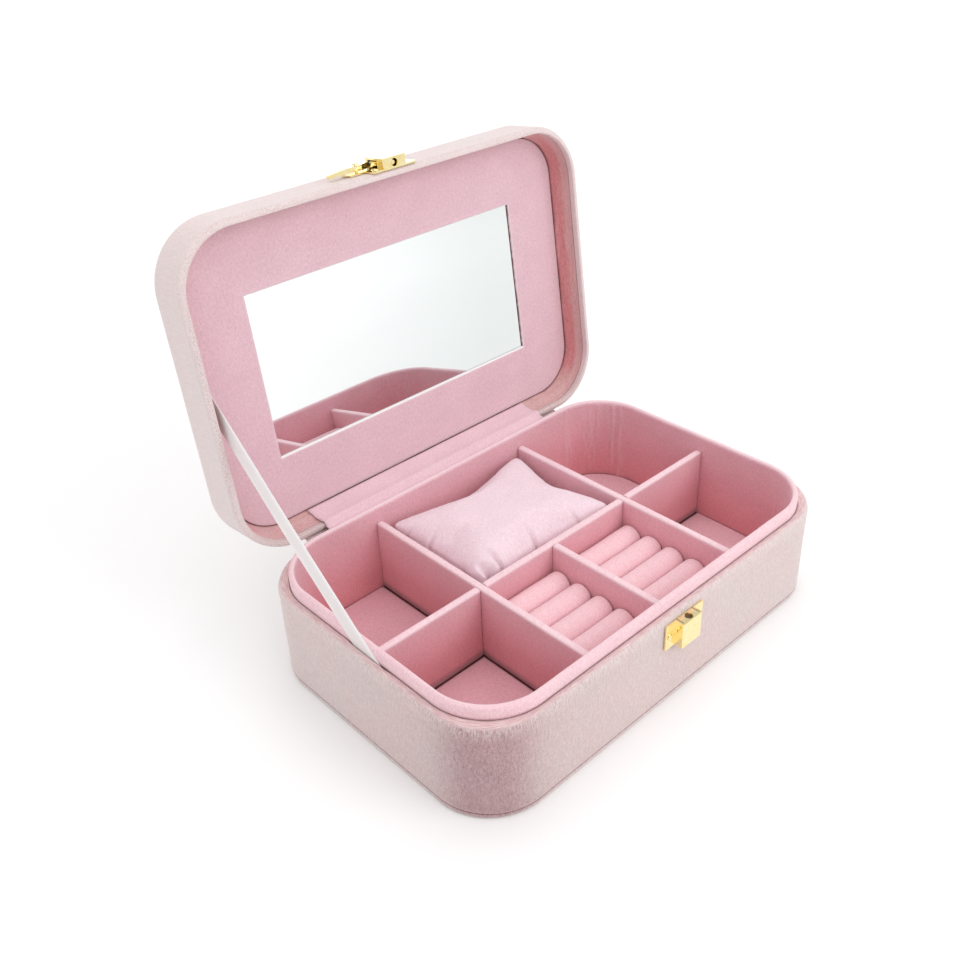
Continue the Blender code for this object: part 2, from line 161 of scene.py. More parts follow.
def grid_mesh(name, rows, wrap_u, wrap_v, length=None, masks=None, caps=(False, False)):
    """Skin rows of equal point counts. u runs along a row and v from row to row, in mm."""
    rows = [np.asarray(r, float) for r in rows]
    n, m = len(rows[0]), len(rows)
    verts = np.concatenate(rows)
    step_u = np.linalg.norm(np.diff(rows[m // 2], axis=0), axis=1)
    u = np.concatenate([[0.0], np.cumsum(step_u)])
    if length is not None:
        u = length[0]
    total_u = length[1] if length is not None else None
    step_v = [0.0] + [float(np.median(np.linalg.norm(rows[i + 1] - rows[i], axis=1)))
                      for i in range(m - 1)]
    v = np.cumsum(step_v)
    faces, uvs = [], []
    for r in range(m if wrap_v else m - 1):
        r2 = (r + 1) % m
        v2 = v[r2] if r2 else v[-1] + 1.0
        for i in range(n if wrap_u else n - 1):
            j = (i + 1) % n
            u2 = u[j] if j else total_u
            faces.append((r * n + i, r * n + j, r2 * n + j, r2 * n + i))
            uvs.append(((u[i], v[r]), (u2, v[r]), (u2, v2), (u[i], v2)))
    for cap, r in zip(caps, (0, m - 1)):
        if cap:
            ids = [r * n + i for i in range(n)]
            faces.append(tuple(ids))
            uvs.append([(verts[k][0], verts[k][1]) for k in ids])
    flat_masks = {k: np.concatenate([np.broadcast_to(x, (n,)) for x in vals])
                  for k, vals in (masks or {}).items()}
    obj = make_mesh(name, verts, faces, uvs, flat_masks)
    fix_normals(obj)
    return obj


class Skin:
    """Rings of one skin, gathered with each ring's mask values."""

    def __init__(self, *names):
        self.rings = []
        self.masks = {name: [] for name in names}

    def add(self, ring, **values):
        self.rings.append(ring)
        for name, kept in self.masks.items():
            kept.append(values.get(name, 0.0))

    def mesh(self, name, length, wrap_v=True, caps=(False, False)):
        return grid_mesh(name, self.rings, True, wrap_v, length, self.masks, caps)


def near_hinge(ring):
    """How far each point of a lid ring lies in the stretch beside the hinge, rising from y 56 to
    64.
    """
    return np.clip((ring[:, 1] - 56.0) / 8.0, 0.0, 1.0)


def unit(value):
    return min(1.0, max(0.0, value))


def drift(x, y, z):
    """Smooth noise between about -1 and 1."""
    return noise.noise(Vector((x, y, z)))


def ripple(points, amount, size, seed=0.0):
    """Smooth noise value in mm for each point, to keep cloth from looking machined."""
    return np.array([drift(p[0] / size + seed, p[1] / size, p[2] / size)
                     for p in points]) * amount


def open_points(points):
    """Turn closed-lid points to where they are with the lid open."""
    p = np.asarray(points, float).copy()
    dy, dz = p[:, 1] - HINGE[0], p[:, 2] - HINGE[1]
    c, s = math.cos(OPEN), math.sin(OPEN)
    p[:, 1] = HINGE[0] + dy * c + dz * s
    p[:, 2] = HINGE[1] - dy * s + dz * c
    return p


def open_object(obj):
    mesh = obj.data
    pts = np.array([v.co for v in mesh.vertices], float) / MM
    mesh.vertices.foreach_set("co", (open_points(pts) * MM).astype(np.float32).ravel())
    mesh.update()
    return obj


def finish_piece(obj, body, nodes, material):
    obj.data.materials.clear()
    obj.data.materials.append(material)
    if body:
        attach(obj, body)
    if nodes:
        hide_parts(*nodes)
    return obj


# ---------------------------------------------------------------- material helpers

class Shader:
    """Short calls for building one procedural material."""

    def __init__(self, name):
        self.mat = bpy.data.materials.new(name)
        self.mat.use_nodes = True
        self.tree = self.mat.node_tree
        self.bsdf = self.tree.nodes["Principled BSDF"]

    def node(self, kind, **props):
        made = self.tree.nodes.new(kind)
        for key, value in props.items():
            setattr(made, key, value)
        return made

    def plug(self, socket, value):
        if isinstance(value, bpy.types.NodeSocket):
            self.tree.links.new(value, socket)
        elif value is not None:
            socket.default_value = value

    def cloth(self, scale_u, scale_v):
        """Coordinates on the cloth's own map, given the size of one cell in mm."""
        uv = self.node("ShaderNodeUVMap", uv_map="cloth")
        return self.mapped(uv.outputs["UV"], (1.0 / scale_u, 1.0 / scale_v, 1.0))

    def solid(self, size):
        """Coordinates through the solid, given the size of one cell in mm."""
        where = self.node("ShaderNodeTexCoord")
        s = 1.0 / (size * MM)
        return self.mapped(where.outputs["Object"], (s, s, s))

    def mapped(self, vector, scale):
        node = self.node("ShaderNodeMapping")
        self.plug(node.inputs["Vector"], vector)
        node.inputs["Scale"].default_value = scale
        return node.outputs["Vector"]

    def noise(self, vector, detail=2.0, rough=0.5, distort=0.0):
        node = self.node("ShaderNodeTexNoise")
        self.plug(node.inputs["Vector"], vector)
        node.inputs["Scale"].default_value = 1.0
        node.inputs["Detail"].default_value = detail
        node.inputs["Roughness"].default_value = rough
        node.inputs["Distortion"].default_value = distort
        return node.outputs["Fac"]

    def wave(self, vector, distort):
        node = self.node("ShaderNodeTexWave")
        self.plug(node.inputs["Vector"], vector)
        node.inputs["Scale"].default_value = 1.0
        node.inputs["Distortion"].default_value = distort
        return node.outputs["Fac"]

    def mask(self, name):
        return self.node("ShaderNodeAttribute", attribute_name=name).outputs["Fac"]

    def math(self, operation, a, b=None, clamp=False):
        node = self.node("ShaderNodeMath", operation=operation, use_clamp=clamp)
        self.plug(node.inputs[0], a)
        if b is not None:
            self.plug(node.inputs[1], b)
        return node.outputs[0]

    def weigh(self, *parts):
        """Sum of values, each given with its weight."""
        terms = [self.math("MULTIPLY", value, weight) for value, weight in parts]
        total = terms[0]
        for term in terms[1:]:
            total = self.math("ADD", total, term)
        return total

    def times(self, color, tint):
        return self.mix(1.0, color, tint, "MULTIPLY")

    def ramp(self, fac, stops):
        node = self.node("ShaderNodeValToRGB")
        self.plug(node.inputs["Fac"], fac)
        elements = node.color_ramp.elements
        while len(elements) < len(stops):
            elements.new(0.5)
        for element, (place, value) in zip(elements, stops):
            element.position = place
            rgb = value if isinstance(value, tuple) else (value, value, value)
            element.color = (*rgb, 1.0)
        return node.outputs["Color"]

    def mix(self, fac, a, b, blend="MIX"):
        node = self.node("ShaderNodeMix", data_type="RGBA", blend_type=blend)
        self.plug(node.inputs["Factor"], fac)
        self.plug(node.inputs[6], (*a, 1.0) if isinstance(a, tuple) else a)
        self.plug(node.inputs[7], (*b, 1.0) if isinstance(b, tuple) else b)
        return node.outputs[2]

    def bump(self, height, distance_mm, strength=1.0, normal=None):
        node = self.node("ShaderNodeBump")
        self.plug(node.inputs["Height"], height)
        node.inputs["Distance"].default_value = distance_mm * MM
        node.inputs["Strength"].default_value = strength
        if normal is not None:
            self.plug(node.inputs["Normal"], normal)
        return node.outputs["Normal"]

    def finish(self, color, rough, normal=None, sheen=None, **fixed):
        self.plug(self.bsdf.inputs["Base Color"],
                  (*color, 1.0) if isinstance(color, tuple) else color)
        self.plug(self.bsdf.inputs["Roughness"], rough)
        if normal is not None:
            self.plug(self.bsdf.inputs["Normal"], normal)
        if sheen is not None:
            self.bsdf.inputs["Sheen Weight"].default_value = sheen[0]
            self.bsdf.inputs["Sheen Roughness"].default_value = sheen[1]
            self.bsdf.inputs["Sheen Tint"].default_value = (*sheen[2], 1.0)
        for key, value in fixed.items():
            self.bsdf.inputs[key.replace("_", " ")].default_value = value
        return self.mat


def spread(shader, fac, low, high):
    """Stretch a noise value so that low becomes 0 and high becomes 1."""
    node = shader.node("ShaderNodeMapRange", clamp=True)
    shader.plug(node.inputs["Value"], fac)
    node.inputs["From Min"].default_value = low
    node.inputs["From Max"].default_value = high
    return node.outputs["Result"]


# ---------------------------------------------------------------- materials

def velvet_material():
    """Short champagne velvet: fine upright nap, brushed patches, a pale broken edge fold that is a
    painted highlight, painted shade at the near corner and in creases, painted light on the lid.
    """
    s = Shader("champagne_velvet")
    fibre = s.noise(s.cloth(0.62, 1.7), 3.0, 0.6, 0.9)
    strand = s.noise(s.cloth(1.0, 3.4), 2.0, 0.5, 1.0)
    grain = s.noise(s.cloth(0.42, 0.6), 1.0, 0.5)
    patch = s.noise(s.cloth(26.0, 34.0), 2.0, 0.5, 0.4)
    nap = s.weigh((strand, 0.22), (grain, 0.28), (fibre, 0.5))
    smooth = s.ramp(nap, [(0.36, (0.590, 0.480, 0.472)), (0.5, (0.668, 0.556, 0.548)),
                          (0.62, (0.745, 0.640, 0.628))])
    rugged = s.ramp(nap, [(0.36, (0.470, 0.365, 0.360)), (0.5, (0.665, 0.552, 0.545)),
                          (0.62, (0.820, 0.720, 0.705))])
    # brush mask: painted shade over the near corner, for the velvet's darker face-on look there,
    # with a higher-contrast nap ramp swapped in.
    body = s.mix(s.mask("brush"), smooth, rugged)
    brushed = s.mix(spread(s, patch, 0.35, 0.7), (1.0, 1.0, 1.0), (1.04, 0.985, 0.97))
    color = s.times(body, brushed)
    color = s.mix(s.mask("brush"), color, s.times(color, (0.66, 0.52, 0.56)))
    # pale mask: painted light, a lighter, less saturated copy of the velvet for the lid's lit
    # faces.
    lighter = s.mix(0.55, s.times(color, (1.17, 1.19, 1.21)), (0.80, 0.70, 0.69))
    color = s.mix(s.mask("pale"), color, lighter)
    # fold mask: painted highlight along the edge folds, broken into short strokes where the pile
    # opens.
    stroke = spread(s, s.noise(s.cloth(0.55, 3.2), 2.0, 0.55, 0.5), 0.42, 0.62)
    fold = s.math("MULTIPLY", s.mask("fold"), stroke, clamp=True)
    color = s.mix(s.math("MULTIPLY", fold, 0.55), color, (0.86, 0.76, 0.745))
    lines = s.noise(s.cloth(5.0, 0.45), 2.0, 0.5)
    color = s.mix(s.mask("inner"), color,
                  s.ramp(lines, [(0.35, (0.60, 0.36, 0.37)), (0.65, (0.84, 0.66, 0.66))]))
    speckle = spread(s, s.noise(s.cloth(0.62, 0.62), 2.0, 0.7), 0.48, 0.64)
    pepper = s.math("MULTIPLY", s.mask("pepper"), speckle, clamp=True)
    pepper = s.math("MULTIPLY", pepper, spread(s, s.noise(s.cloth(48.0, 48.0)), 0.36, 0.62))
    color = s.mix(pepper, color, (0.50, 0.36, 0.35))
    # crease mask: painted shade, near-black red-brown, in the groove by the lining and in a line
    # near the bottom.
    torn = spread(s, s.noise(s.cloth(1.6, 0.7), 3.0, 0.6), 0.25, 0.5)
    crease = s.math("MULTIPLY", s.mask("crease"), torn, clamp=True)
    color = s.mix(crease, color, (0.17, 0.045, 0.05))
    coarse = s.bump(strand, 0.30, 0.5)
    normal = s.bump(nap, 0.36, 0.85, coarse)
    rough = s.ramp(nap, [(0.3, 0.95), (0.7, 0.82)])
    return s.finish(color, rough, normal, (0.6, 0.42, (1.0, 0.95, 0.95)),
                    Specular_IOR_Level=0.2)


def suede_material(name, color, deep, grain_mm=0.3, sheen=0.45, streak=(0.9, 1.4)):
    """Brushed suede cloth: fine broken grain, faint brushed clouds, a painted highlight along
    folds, painted shade deep down and in creases, painted light on lit faces.
    """
    s = Shader(name)
    grain = s.noise(s.cloth(grain_mm, grain_mm * 1.3), 2.0, 0.6)
    brush = s.noise(s.cloth(*streak), 2.0, 0.5, 0.5)
    cloud = s.noise(s.cloth(18.0, 14.0), 2.0, 0.5, 0.3)
    nap = s.weigh((grain, 0.6), (brush, 0.4))
    lit = tuple(min(0.97, c * 1.10 + 0.015) for c in color)
    tone = s.ramp(nap, [(0.37, deep), (0.5, color), (0.63, lit)])
    shade = s.ramp(cloud, [(0.35, (0.975, 0.965, 0.97)), (0.65, (1.015, 1.015, 1.015))])
    tone = s.times(tone, shade)
    # deep mask: painted shade, darker and redder down the walls and deeper into the lid.
    tone = s.mix(s.mask("deep"), tone, s.times(tone, (1.0, 0.72, 0.71)))
    # pale mask: painted light, lighter and less saturated on lit faces and top edges.
    tone = s.mix(s.mask("pale"), tone, s.times(tone, (1.12, 1.32, 1.27)))
    spots = spread(s, s.noise(s.cloth(0.7, 0.7), 2.0, 0.7), 0.5, 0.64)
    spots = s.math("MULTIPLY", s.mask("speckle"), spots, clamp=True)
    tone = s.mix(s.math("MULTIPLY", spots, 0.6), tone, (0.46, 0.26, 0.24))
    tone = s.mix(s.math("MULTIPLY", s.mask("speckle"), 0.3), tone, (0.68, 0.46, 0.42))
    # fold mask: painted highlight along rounded top edges and wrinkle crests.
    tone = s.mix(s.mask("fold"), tone, tuple(min(0.95, c * 0.45 + 0.50) for c in color))
    # crease mask: painted shade at the feet and ends of parts, under rolls, along seams and in
    # gaps.
    tone = s.mix(s.mask("crease"), tone, (deep[0] * 0.34, deep[1] * 0.16, deep[2] * 0.16))
    tone = s.mix(s.mask("cut"), tone, (0.97, 0.96, 0.955))
    normal = s.bump(nap, 0.10, 0.7)
    return s.finish(tone, s.ramp(nap, [(0.3, 0.95), (0.7, 0.85)]), normal,
                    (sheen, 0.5, (1.0, 0.93, 0.95)), Specular_IOR_Level=0.15)


def ribbon_material():
    """Satin ribbon: fine cross ribs, a woven edge line and a soft shine."""
    s = Shader("satin_ribbon")
    rib = s.wave(s.cloth(0.9, 1.9), 0.6)
    thread = s.noise(s.cloth(0.25, 1.6), 2.0, 0.5)
    both = s.weigh((rib, 0.5), (thread, 0.5))
    color = s.ramp(both, [(0.25, (0.80, 0.74, 0.735)), (0.75, (0.90, 0.85, 0.845))])
    color = s.mix(s.mask("fold"), color, (0.97, 0.94, 0.94))
    return s.finish(color, s.ramp(both, [(0.2, 0.42), (0.8, 0.30)]), s.bump(both, 0.05, 0.6),
                    (0.15, 0.3, (1.0, 1.0, 1.0)), Specular_IOR_Level=0.45)


def gold_material():
    """Bright gold plate with faint wear and fine scratches."""
    s = Shader("gold_plate")
    wear = s.noise(s.solid(2.2), 3.0, 0.6)
    scratch = s.noise(s.mapped(s.solid(1.0), (6.0, 0.7, 0.7)), 3.0, 0.7)
    color = s.ramp(wear, [(0.35, (0.97, 0.79, 0.37)), (0.65, (1.0, 0.87, 0.52))])
    both = s.weigh((wear, 0.5), (scratch, 0.5))
    rough = s.ramp(both, [(0.35, 0.07), (0.7, 0.20)])
    return s.finish(color, rough, s.bump(both, 0.05, 0.25), None, Metallic=1.0)


def mirror_material():
    """Silvered glass, its reflection darkened towards one side by painted shade, and seated with a
    slight lean.
    """
    s = Shader("mirror_glass")
    haze = s.noise(s.solid(60.0), 2.0, 0.5)
    where = s.node("ShaderNodeTexCoord").outputs["Object"]
    split = s.node("ShaderNodeSeparateXYZ")
    s.plug(split.inputs[0], where)
    # Painted shade: the reflection darkens from one side of the glass to the other, with faint
    # haze mottling.
    side = spread(s, split.outputs["X"], -0.07, 0.07)
    shade_and_haze = s.math("ADD", side, s.math("MULTIPLY", haze, 0.25))
    color = s.ramp(shade_and_haze, [(0.0, (0.875, 0.885, 0.885)), (1.0, (0.715, 0.745, 0.74))])
    lean = s.bump(s.math("MULTIPLY", split.outputs["Z"], -10.0), 1.7, 1.0)
    return s.finish(color, s.ramp(haze, [(0.3, 0.0), (0.7, 0.02)]), lean, None, Metallic=1.0)


def board_material(name, low, high, size):
    """Pressed board, paper or foam: fibres and specks in the solid."""
    s = Shader(name)
    fibre = s.noise(s.solid(size), 4.0, 0.7, 0.6)
    speck = s.noise(s.solid(size * 0.3), 2.0, 0.8)
    both = s.weigh((fibre, 0.6), (speck, 0.4))
    return s.finish(s.ramp(both, [(0.35, low), (0.65, high)]),
                    s.ramp(both, [(0.3, 0.95), (0.7, 0.8)]), s.bump(both, 0.12, 0.5), None,
                    Specular_IOR_Level=0.2)


VELVET = velvet_material()
SUEDE = suede_material("pink_suede", (0.790, 0.465, 0.520), (0.700, 0.375, 0.430))
# The lid lining is the champagne velvet turned inward; this darker, redder copy of it is painted
# shade inside the lid.
SHADED_LINING_VELVET = suede_material("lid_lining_velvet_shaded", (0.66, 0.375, 0.385), (0.52, 0.255, 0.265),
                       0.5, 0.35, (2.5, 0.8))
# Lighter, less saturated copies of the pink suede for the mirror frame and hinge strip: painted
# light on lit faces.
LIT_PANEL_SUEDE = suede_material("pink_suede_lit_panel", (0.760, 0.530, 0.585), (0.690, 0.455, 0.510), 0.34)
LIT_STRIP_SUEDE = suede_material("pink_suede_lit_strip", (0.820, 0.580, 0.635), (0.750, 0.505, 0.560), 0.34)
PLUSH = suede_material("pink_plush", (0.870, 0.590, 0.628), (0.830, 0.500, 0.545), 0.3, 0.5)
PILLOW = suede_material("pale_pink_cloth", (0.850, 0.675, 0.735), (0.790, 0.600, 0.660), 0.35, 0.4)
RIBBON = ribbon_material()
GOLD = gold_material()
MIRROR = mirror_material()
BOARD = board_material("grey_board", (0.30, 0.28, 0.25), (0.47, 0.44, 0.40), 1.6)
PAPER = board_material("bottom_paper", (0.62, 0.52, 0.49), (0.76, 0.66, 0.63), 0.9)
FOAM = board_material("foam", (0.72, 0.69, 0.62), (0.86, 0.84, 0.77), 1.2)


# ---------------------------------------------------------------- base

WALL_COUNTS = (30, 96, 52)
DENSE_COUNTS = (76, 80, 46)


def rim_profile(depth, height, steps):
    """Insets and rises of the soft fold where the velvet turns over an edge."""
    out = []
    for k in range(steps + 1):
        a = 0.5 * math.pi * k / steps
        out.append((depth * (1.0 - math.cos(a)), height * math.sin(a)))
    return out


def build_base_velvet():
    """Velvet over the base wall, its edge fold, and the flat down to the groove."""
    counts = WALL_COUNTS
    s, total = along(loop(*CASE, counts))
    # brush: painted shade, strongest at the near corner of the wall and fading along both sides.
    near = 2.5 * (0.5 * math.pi * CASE[2]) + 2.0 * (CASE[0] + CASE[1] - 2.0 * CASE[2])
    gap = np.abs((s - near + total * 0.5) % total - total * 0.5)
    brush = 0.85 * np.exp(-(gap / 19.0) ** 2) + 0.28 * np.exp(-(gap / 62.0) ** 2)
    brush = np.clip(brush, 0.0, 1.0)
    skin = Skin("fold", "inner", "pepper", "crease", "brush")

    def add(ring, fold=0.0, inner=0.0, pepper=0.0, crease=0.0):
        skin.add(ring, fold=fold, inner=inner, pepper=pepper, crease=crease,
                 brush=brush * (1.0 - inner))

    def case(d, z, wobble=0.0):
        ring = ring_at(CASE, d, z, counts)
        if wobble:
            n = outward(ring[:, :2])
            move = ripple(ring, wobble, 17.0, 3.0) + ripple(ring, wobble * 0.5, 5.0)
            ring[:, :2] += n * move[:, None]
        return ring

    # Rows as inset, height, fold, inner, pepper, crease: fold paints a highlight on the bottom
    # turn and on the wall's top, crease a shade line near the bottom.
    for d, z, *values in ((0.8, 1.35), (0.5, 1.0), (0.15, 1.05, 0.3), (0.0, 1.5, 0.5),
                          (0.0, 2.3, 0.3), (0.28, 2.75, 0.0, 0.0, 0.2, 0.9), (0.02, 3.2, 0.15)):
        add(case(d, z), *values)
    for z in np.linspace(4.2, 39.0, 20):
        add(case(0.0, z, 0.10))
    for d, z, fold in ((0.0, 40.2, 0.12), (-0.05, 41.3, 0.3), (-0.10, 42.3, 0.5)):
        add(case(d, z, 0.12), fold)
    rise = rim_profile(1.85, 3.35, 10)
    for k, (d, h) in enumerate(rise):
        place = k / (len(rise) - 1)
        ring = ring_at(CASE, d - 0.12 * (1.0 - place), 43.1 + h, counts)
        ragged = ripple(ring, 0.30, 2.0, 9.0) * math.sin(math.pi * place)
        ring[:, 2] += ragged * 0.6
        ring[:, :2] += outward(ring[:, :2]) * ragged[:, None] * 0.7
        # glow: painted highlight along the rim fold, rising to its strongest halfway over.
        glow = 0.5 + 0.5 * place / 0.5 if place < 0.5 else math.exp(-((place - 0.5) / 0.2) ** 2)
        add(ring, glow, 0.85 * min(1.0, max(0.0, place - 0.55) * 3.0), 0.15)
    mid = loop(*COLLAR, counts)
    past = np.clip((np.abs(mid[:, 1] + 5.0) - 9.0) / 5.0, 0.0, 1.0)
    lip = -0.62 + 0.46 * np.where(mid[:, 0] > -90.0, 1.0, past)
    top_in = ring_at(COLLAR, lip - 0.08, 46.34, counts)
    last = skin.rings[-1]
    for k in range(1, 4):
        t = k / 4.0
        ring = last * (1.0 - t) + top_in * t
        ring[:, 2] += ripple(ring, 0.14, 1.6, 4.0)
        add(ring, 0.1 if k == 2 else 0.0, 0.85, 0.12)
    # crease: painted shade in the groove between the velvet rim and the lining.
    add(top_in, 0.0, 0.9, 0.1, 0.25)
    for inset, z in ((lip, 46.2), (lip, 45.6), (-0.75, 45.3)):
        add(ring_at(COLLAR, inset, z, counts), 0.0, 1.0, 0.0, 1.0)
    add(case(0.8, 45.2), 0.0, 1.0)
    add(case(0.8, 24.0))
    obj = skin.mesh("base_velvet", (s, total))
    return finish_piece(obj, "base", ["base_velvet_wrap"], VELVET)


def pleats(s, z, total, seed, where, height):
    """Raised wrinkle lines of the lining, gathered round the corners."""
    chooser = random.Random(seed)
    lift = np.zeros_like(s)
    for centre, half, count, strength in where:
        for _ in range(count):
            place = centre + chooser.uniform(-1.0, 1.0) * half
            width = chooser.uniform(0.35, 0.8)
            top = chooser.uniform(0.55, 1.0) * height
            low = chooser.uniform(0.0, 0.35) * height
            size = chooser.uniform(0.22, 0.60) * strength
            phase = chooser.uniform(0.0, 40.0)
            wander = 2.3 * drift(phase, z / 13.0, 0.0)
            wander += 0.5 * drift(phase, z / 4.0, 5.0)
            ends = unit((z - low) / 6.0) * unit((top + 6.0 - z) / 6.0)
            gap = (s - place - wander + total * 0.5) % total - total * 0.5
            lift += size * ends * np.exp(-(gap / width) ** 2)
    return lift


def build_collar():
    """Lining wall with its raised round top edge, wrinkled at the corners."""
    counts = DENSE_COUNTS
    s, total = along(loop(*COLLAR, counts))
    arc = 0.5 * math.pi * COLLAR[2]
    long_side = 2.0 * (COLLAR[0] - COLLAR[2])
    short_side = 2.0 * (COLLAR[1] - COLLAR[2])
    corners = [arc * 0.5, arc * 1.5 + long_side, arc * 2.5 + long_side + short_side,
               arc * 3.5 + 2.0 * long_side + short_side]
    where = [(corners[0] + 2.0, 19.0, 24, 0.9), (corners[1], 15.0, 11, 0.7),
             (corners[2], 14.0, 8, 0.6), (corners[3], 15.0, 10, 0.7)]
    skin = Skin("fold", "crease", "pale", "deep")
    # Outer face: dark paints shade low down behind the velvet rim, and pale paints light over the
    # whole face.
    for z in (UNDERSIDE, 20.0, 36.0, 44.0, 46.0, 46.6, 47.3, 48.5, 50.2):
        dark = 1.0 if z < 46.5 else (0.4 if z < 47.0 else 0.0)
        skin.add(ring_at(COLLAR, 0.0, z, counts), crease=dark, pale=1.0)
    for k in range(1, 12):
        a = math.pi * k / 12.0
        d = 0.5 * COLLAR_T * (1.0 - math.cos(a))
        z = 50.9 + 1.4 * math.sin(a)
        soft = ripple(ring_at(COLLAR, d, z, counts), 0.10, 9.0, 2.0)
        # glow: painted highlight along the round top edge; pale paints light there, easing off
        # inwards.
        glow = 0.62 * math.exp(-((k - 8.0) / 1.7) ** 2) + 0.08
        skin.add(ring_at(COLLAR, d, z + soft, counts), fold=glow, pale=0.9 - 0.04 * k)
    for z in np.linspace(50.2, 6.6, 30):
        lift = pleats(s, z, total, 11, where, 52.0)
        lift += ripple(ring_at(COLLAR, COLLAR_T, z, counts), 0.14, 12.0, 7.0)
        seam_gap = (s - (arc + long_side * 0.5 - 8.5) + total * 0.5) % total - total * 0.5
        lift += 0.26 * np.exp(-(seam_gap / 0.5) ** 2)
        inset = COLLAR_T + np.clip(lift, -0.1, 1.0)
        # fold: painted highlight on wrinkle crests; crease: painted shade at the foot; deep:
        # painted shade growing down the wall.
        skin.add(ring_at(COLLAR, inset, z, counts), fold=np.clip(lift * 0.32, 0.0, 0.24),
                 crease=0.9 if z < 7.9 else 0.0, deep=min(1.0, (50.2 - z) / 36.0))
    skin.add(ring_at(COLLAR, COLLAR_T, UNDERSIDE, counts), crease=0.9)
    obj = skin.mesh("base_lining", (s, total))
    return finish_piece(obj, "base", ["liner_collar"], SUEDE)


def pad_islands(polygons, top, skirt):
    """Closed pads with soft edges over the given outlines, as one set of points and faces."""
    verts, faces, uvs, crease = [], [], [], []
    # Profile rows as inset, height and crease value: the crease value paints shade at each pad's
    # foot and soft edge.
    profile = ((0.0, skirt, 1.0), (0.05, top - 0.9, 1.0), (0.25, top - 0.45, 0.7),
               (0.7, top - 0.12, 0.15), (1.6, top, 0.0), (6.0, top + 0.05, 0.0))
    for poly in polygons:
        poly = np.asarray(poly, float)
        centre = poly.mean(0)
        reach = np.linalg.norm(poly - centre, axis=1)
        n = len(poly)
        start = len(verts)
        for d, z, c in profile:
            for k in range(n):
                p = centre + (poly[k] - centre) * (1.0 - d / reach[k])
                verts.append((p[0], p[1], z))
                crease.append(c)
        for r in range(len(profile) - 1):
            for i in range(n):
                j = (i + 1) % n
                a, b = start + r * n, start + (r + 1) * n
                faces.append((a + i, a + j, b + j, b + i))
        faces.append(tuple(range(start + n - 1, start - 1, -1)))
        faces.append(tuple(range(start + (len(profile) - 1) * n, start + len(profile) * n)))
    for face in faces:
        uvs.append([(verts[k][0], verts[k][1]) for k in face])
    return verts, faces, uvs, crease


def compartment(x0, x1, y0, y1, edge):
    """Outline of one compartment's floor, following the lining's rounded corner."""
    limit = loop(COLLAR[0] - edge, COLLAR[1] - edge, COLLAR[2] - edge, (24, 40, 24))
    box = [(x, y) for x, y in limit if x0 < x < x1 and y0 < y < y1]
    hx, hy = COLLAR[0] - edge, COLLAR[1] - edge
    for x, y in ((x0, y0), (x1, y0), (x1, y1), (x0, y1)):
        cx, cy = min(max(x, -hx), hx), min(max(y, -hy), hy)
        r = COLLAR[2] - edge
        far = abs(cx) > hx - r and abs(cy) > hy - r
        if not far:
            box.append((cx, cy))
    mid = np.mean(box, axis=0)
    box.sort(key=lambda p: math.atan2(p[1] - mid[1], p[0] - mid[0]))
    return box


def build_floor():
    """Padded floor lining: one soft-edged pad in each compartment, on a slab."""
    edge = COLLAR_T + 0.25
    g = HALF_T + 0.2
    spans_x = ((-200.0, -SIDE_X - g), (-SIDE_X + g, SIDE_X - g), (SIDE_X + g, 200.0))
    spans_y = ((-200.0, CROSS_Y - g), (CROSS_Y + g, 200.0))
    polygons = []
    for x0, x1 in spans_x:
        for y0, y1 in spans_y:
            polygons.append(compartment(x0, x1, y0, y1, edge))
    slab = loop(COLLAR[0] - edge, COLLAR[1] - edge, COLLAR[2] - edge, (16, 8, 8))
    verts, faces, uvs, crease = pad_islands(polygons, FLOOR_Z, 6.9)
    start = len(verts)
    n = len(slab)
    # The slab under the pads is painted in full shade.
    for z in (UNDERSIDE, 6.7):
        verts += [(x, y, z) for x, y in slab]
        crease += [1.0] * n
    extra = [(start + i, start + (i + 1) % n, start + n + (i + 1) % n, start + n + i)
             for i in range(n)]
    extra += [tuple(range(start + n - 1, start - 1, -1)), tuple(range(start + n, start + 2 * n))]
    faces += extra
    uvs += [[(verts[k][0], verts[k][1]) for k in face] for face in extra]
    # pale: painted light, stronger on the right-hand compartments' floors than on the left.
    pale = [0.42 if x > 0.0 else 0.06 for x, _, _ in verts]
    obj = make_mesh("floor_lining", verts, faces, uvs, {"crease": crease, "pale": pale})
    fix_normals(obj)
    for poly in obj.data.polygons:
        poly.use_smooth = len(poly.vertices) == 4
    finish_piece(obj, "base", ["base_floor_pad"], SUEDE)
    return obj


def both_sides(half):
    return half + half[::-1]


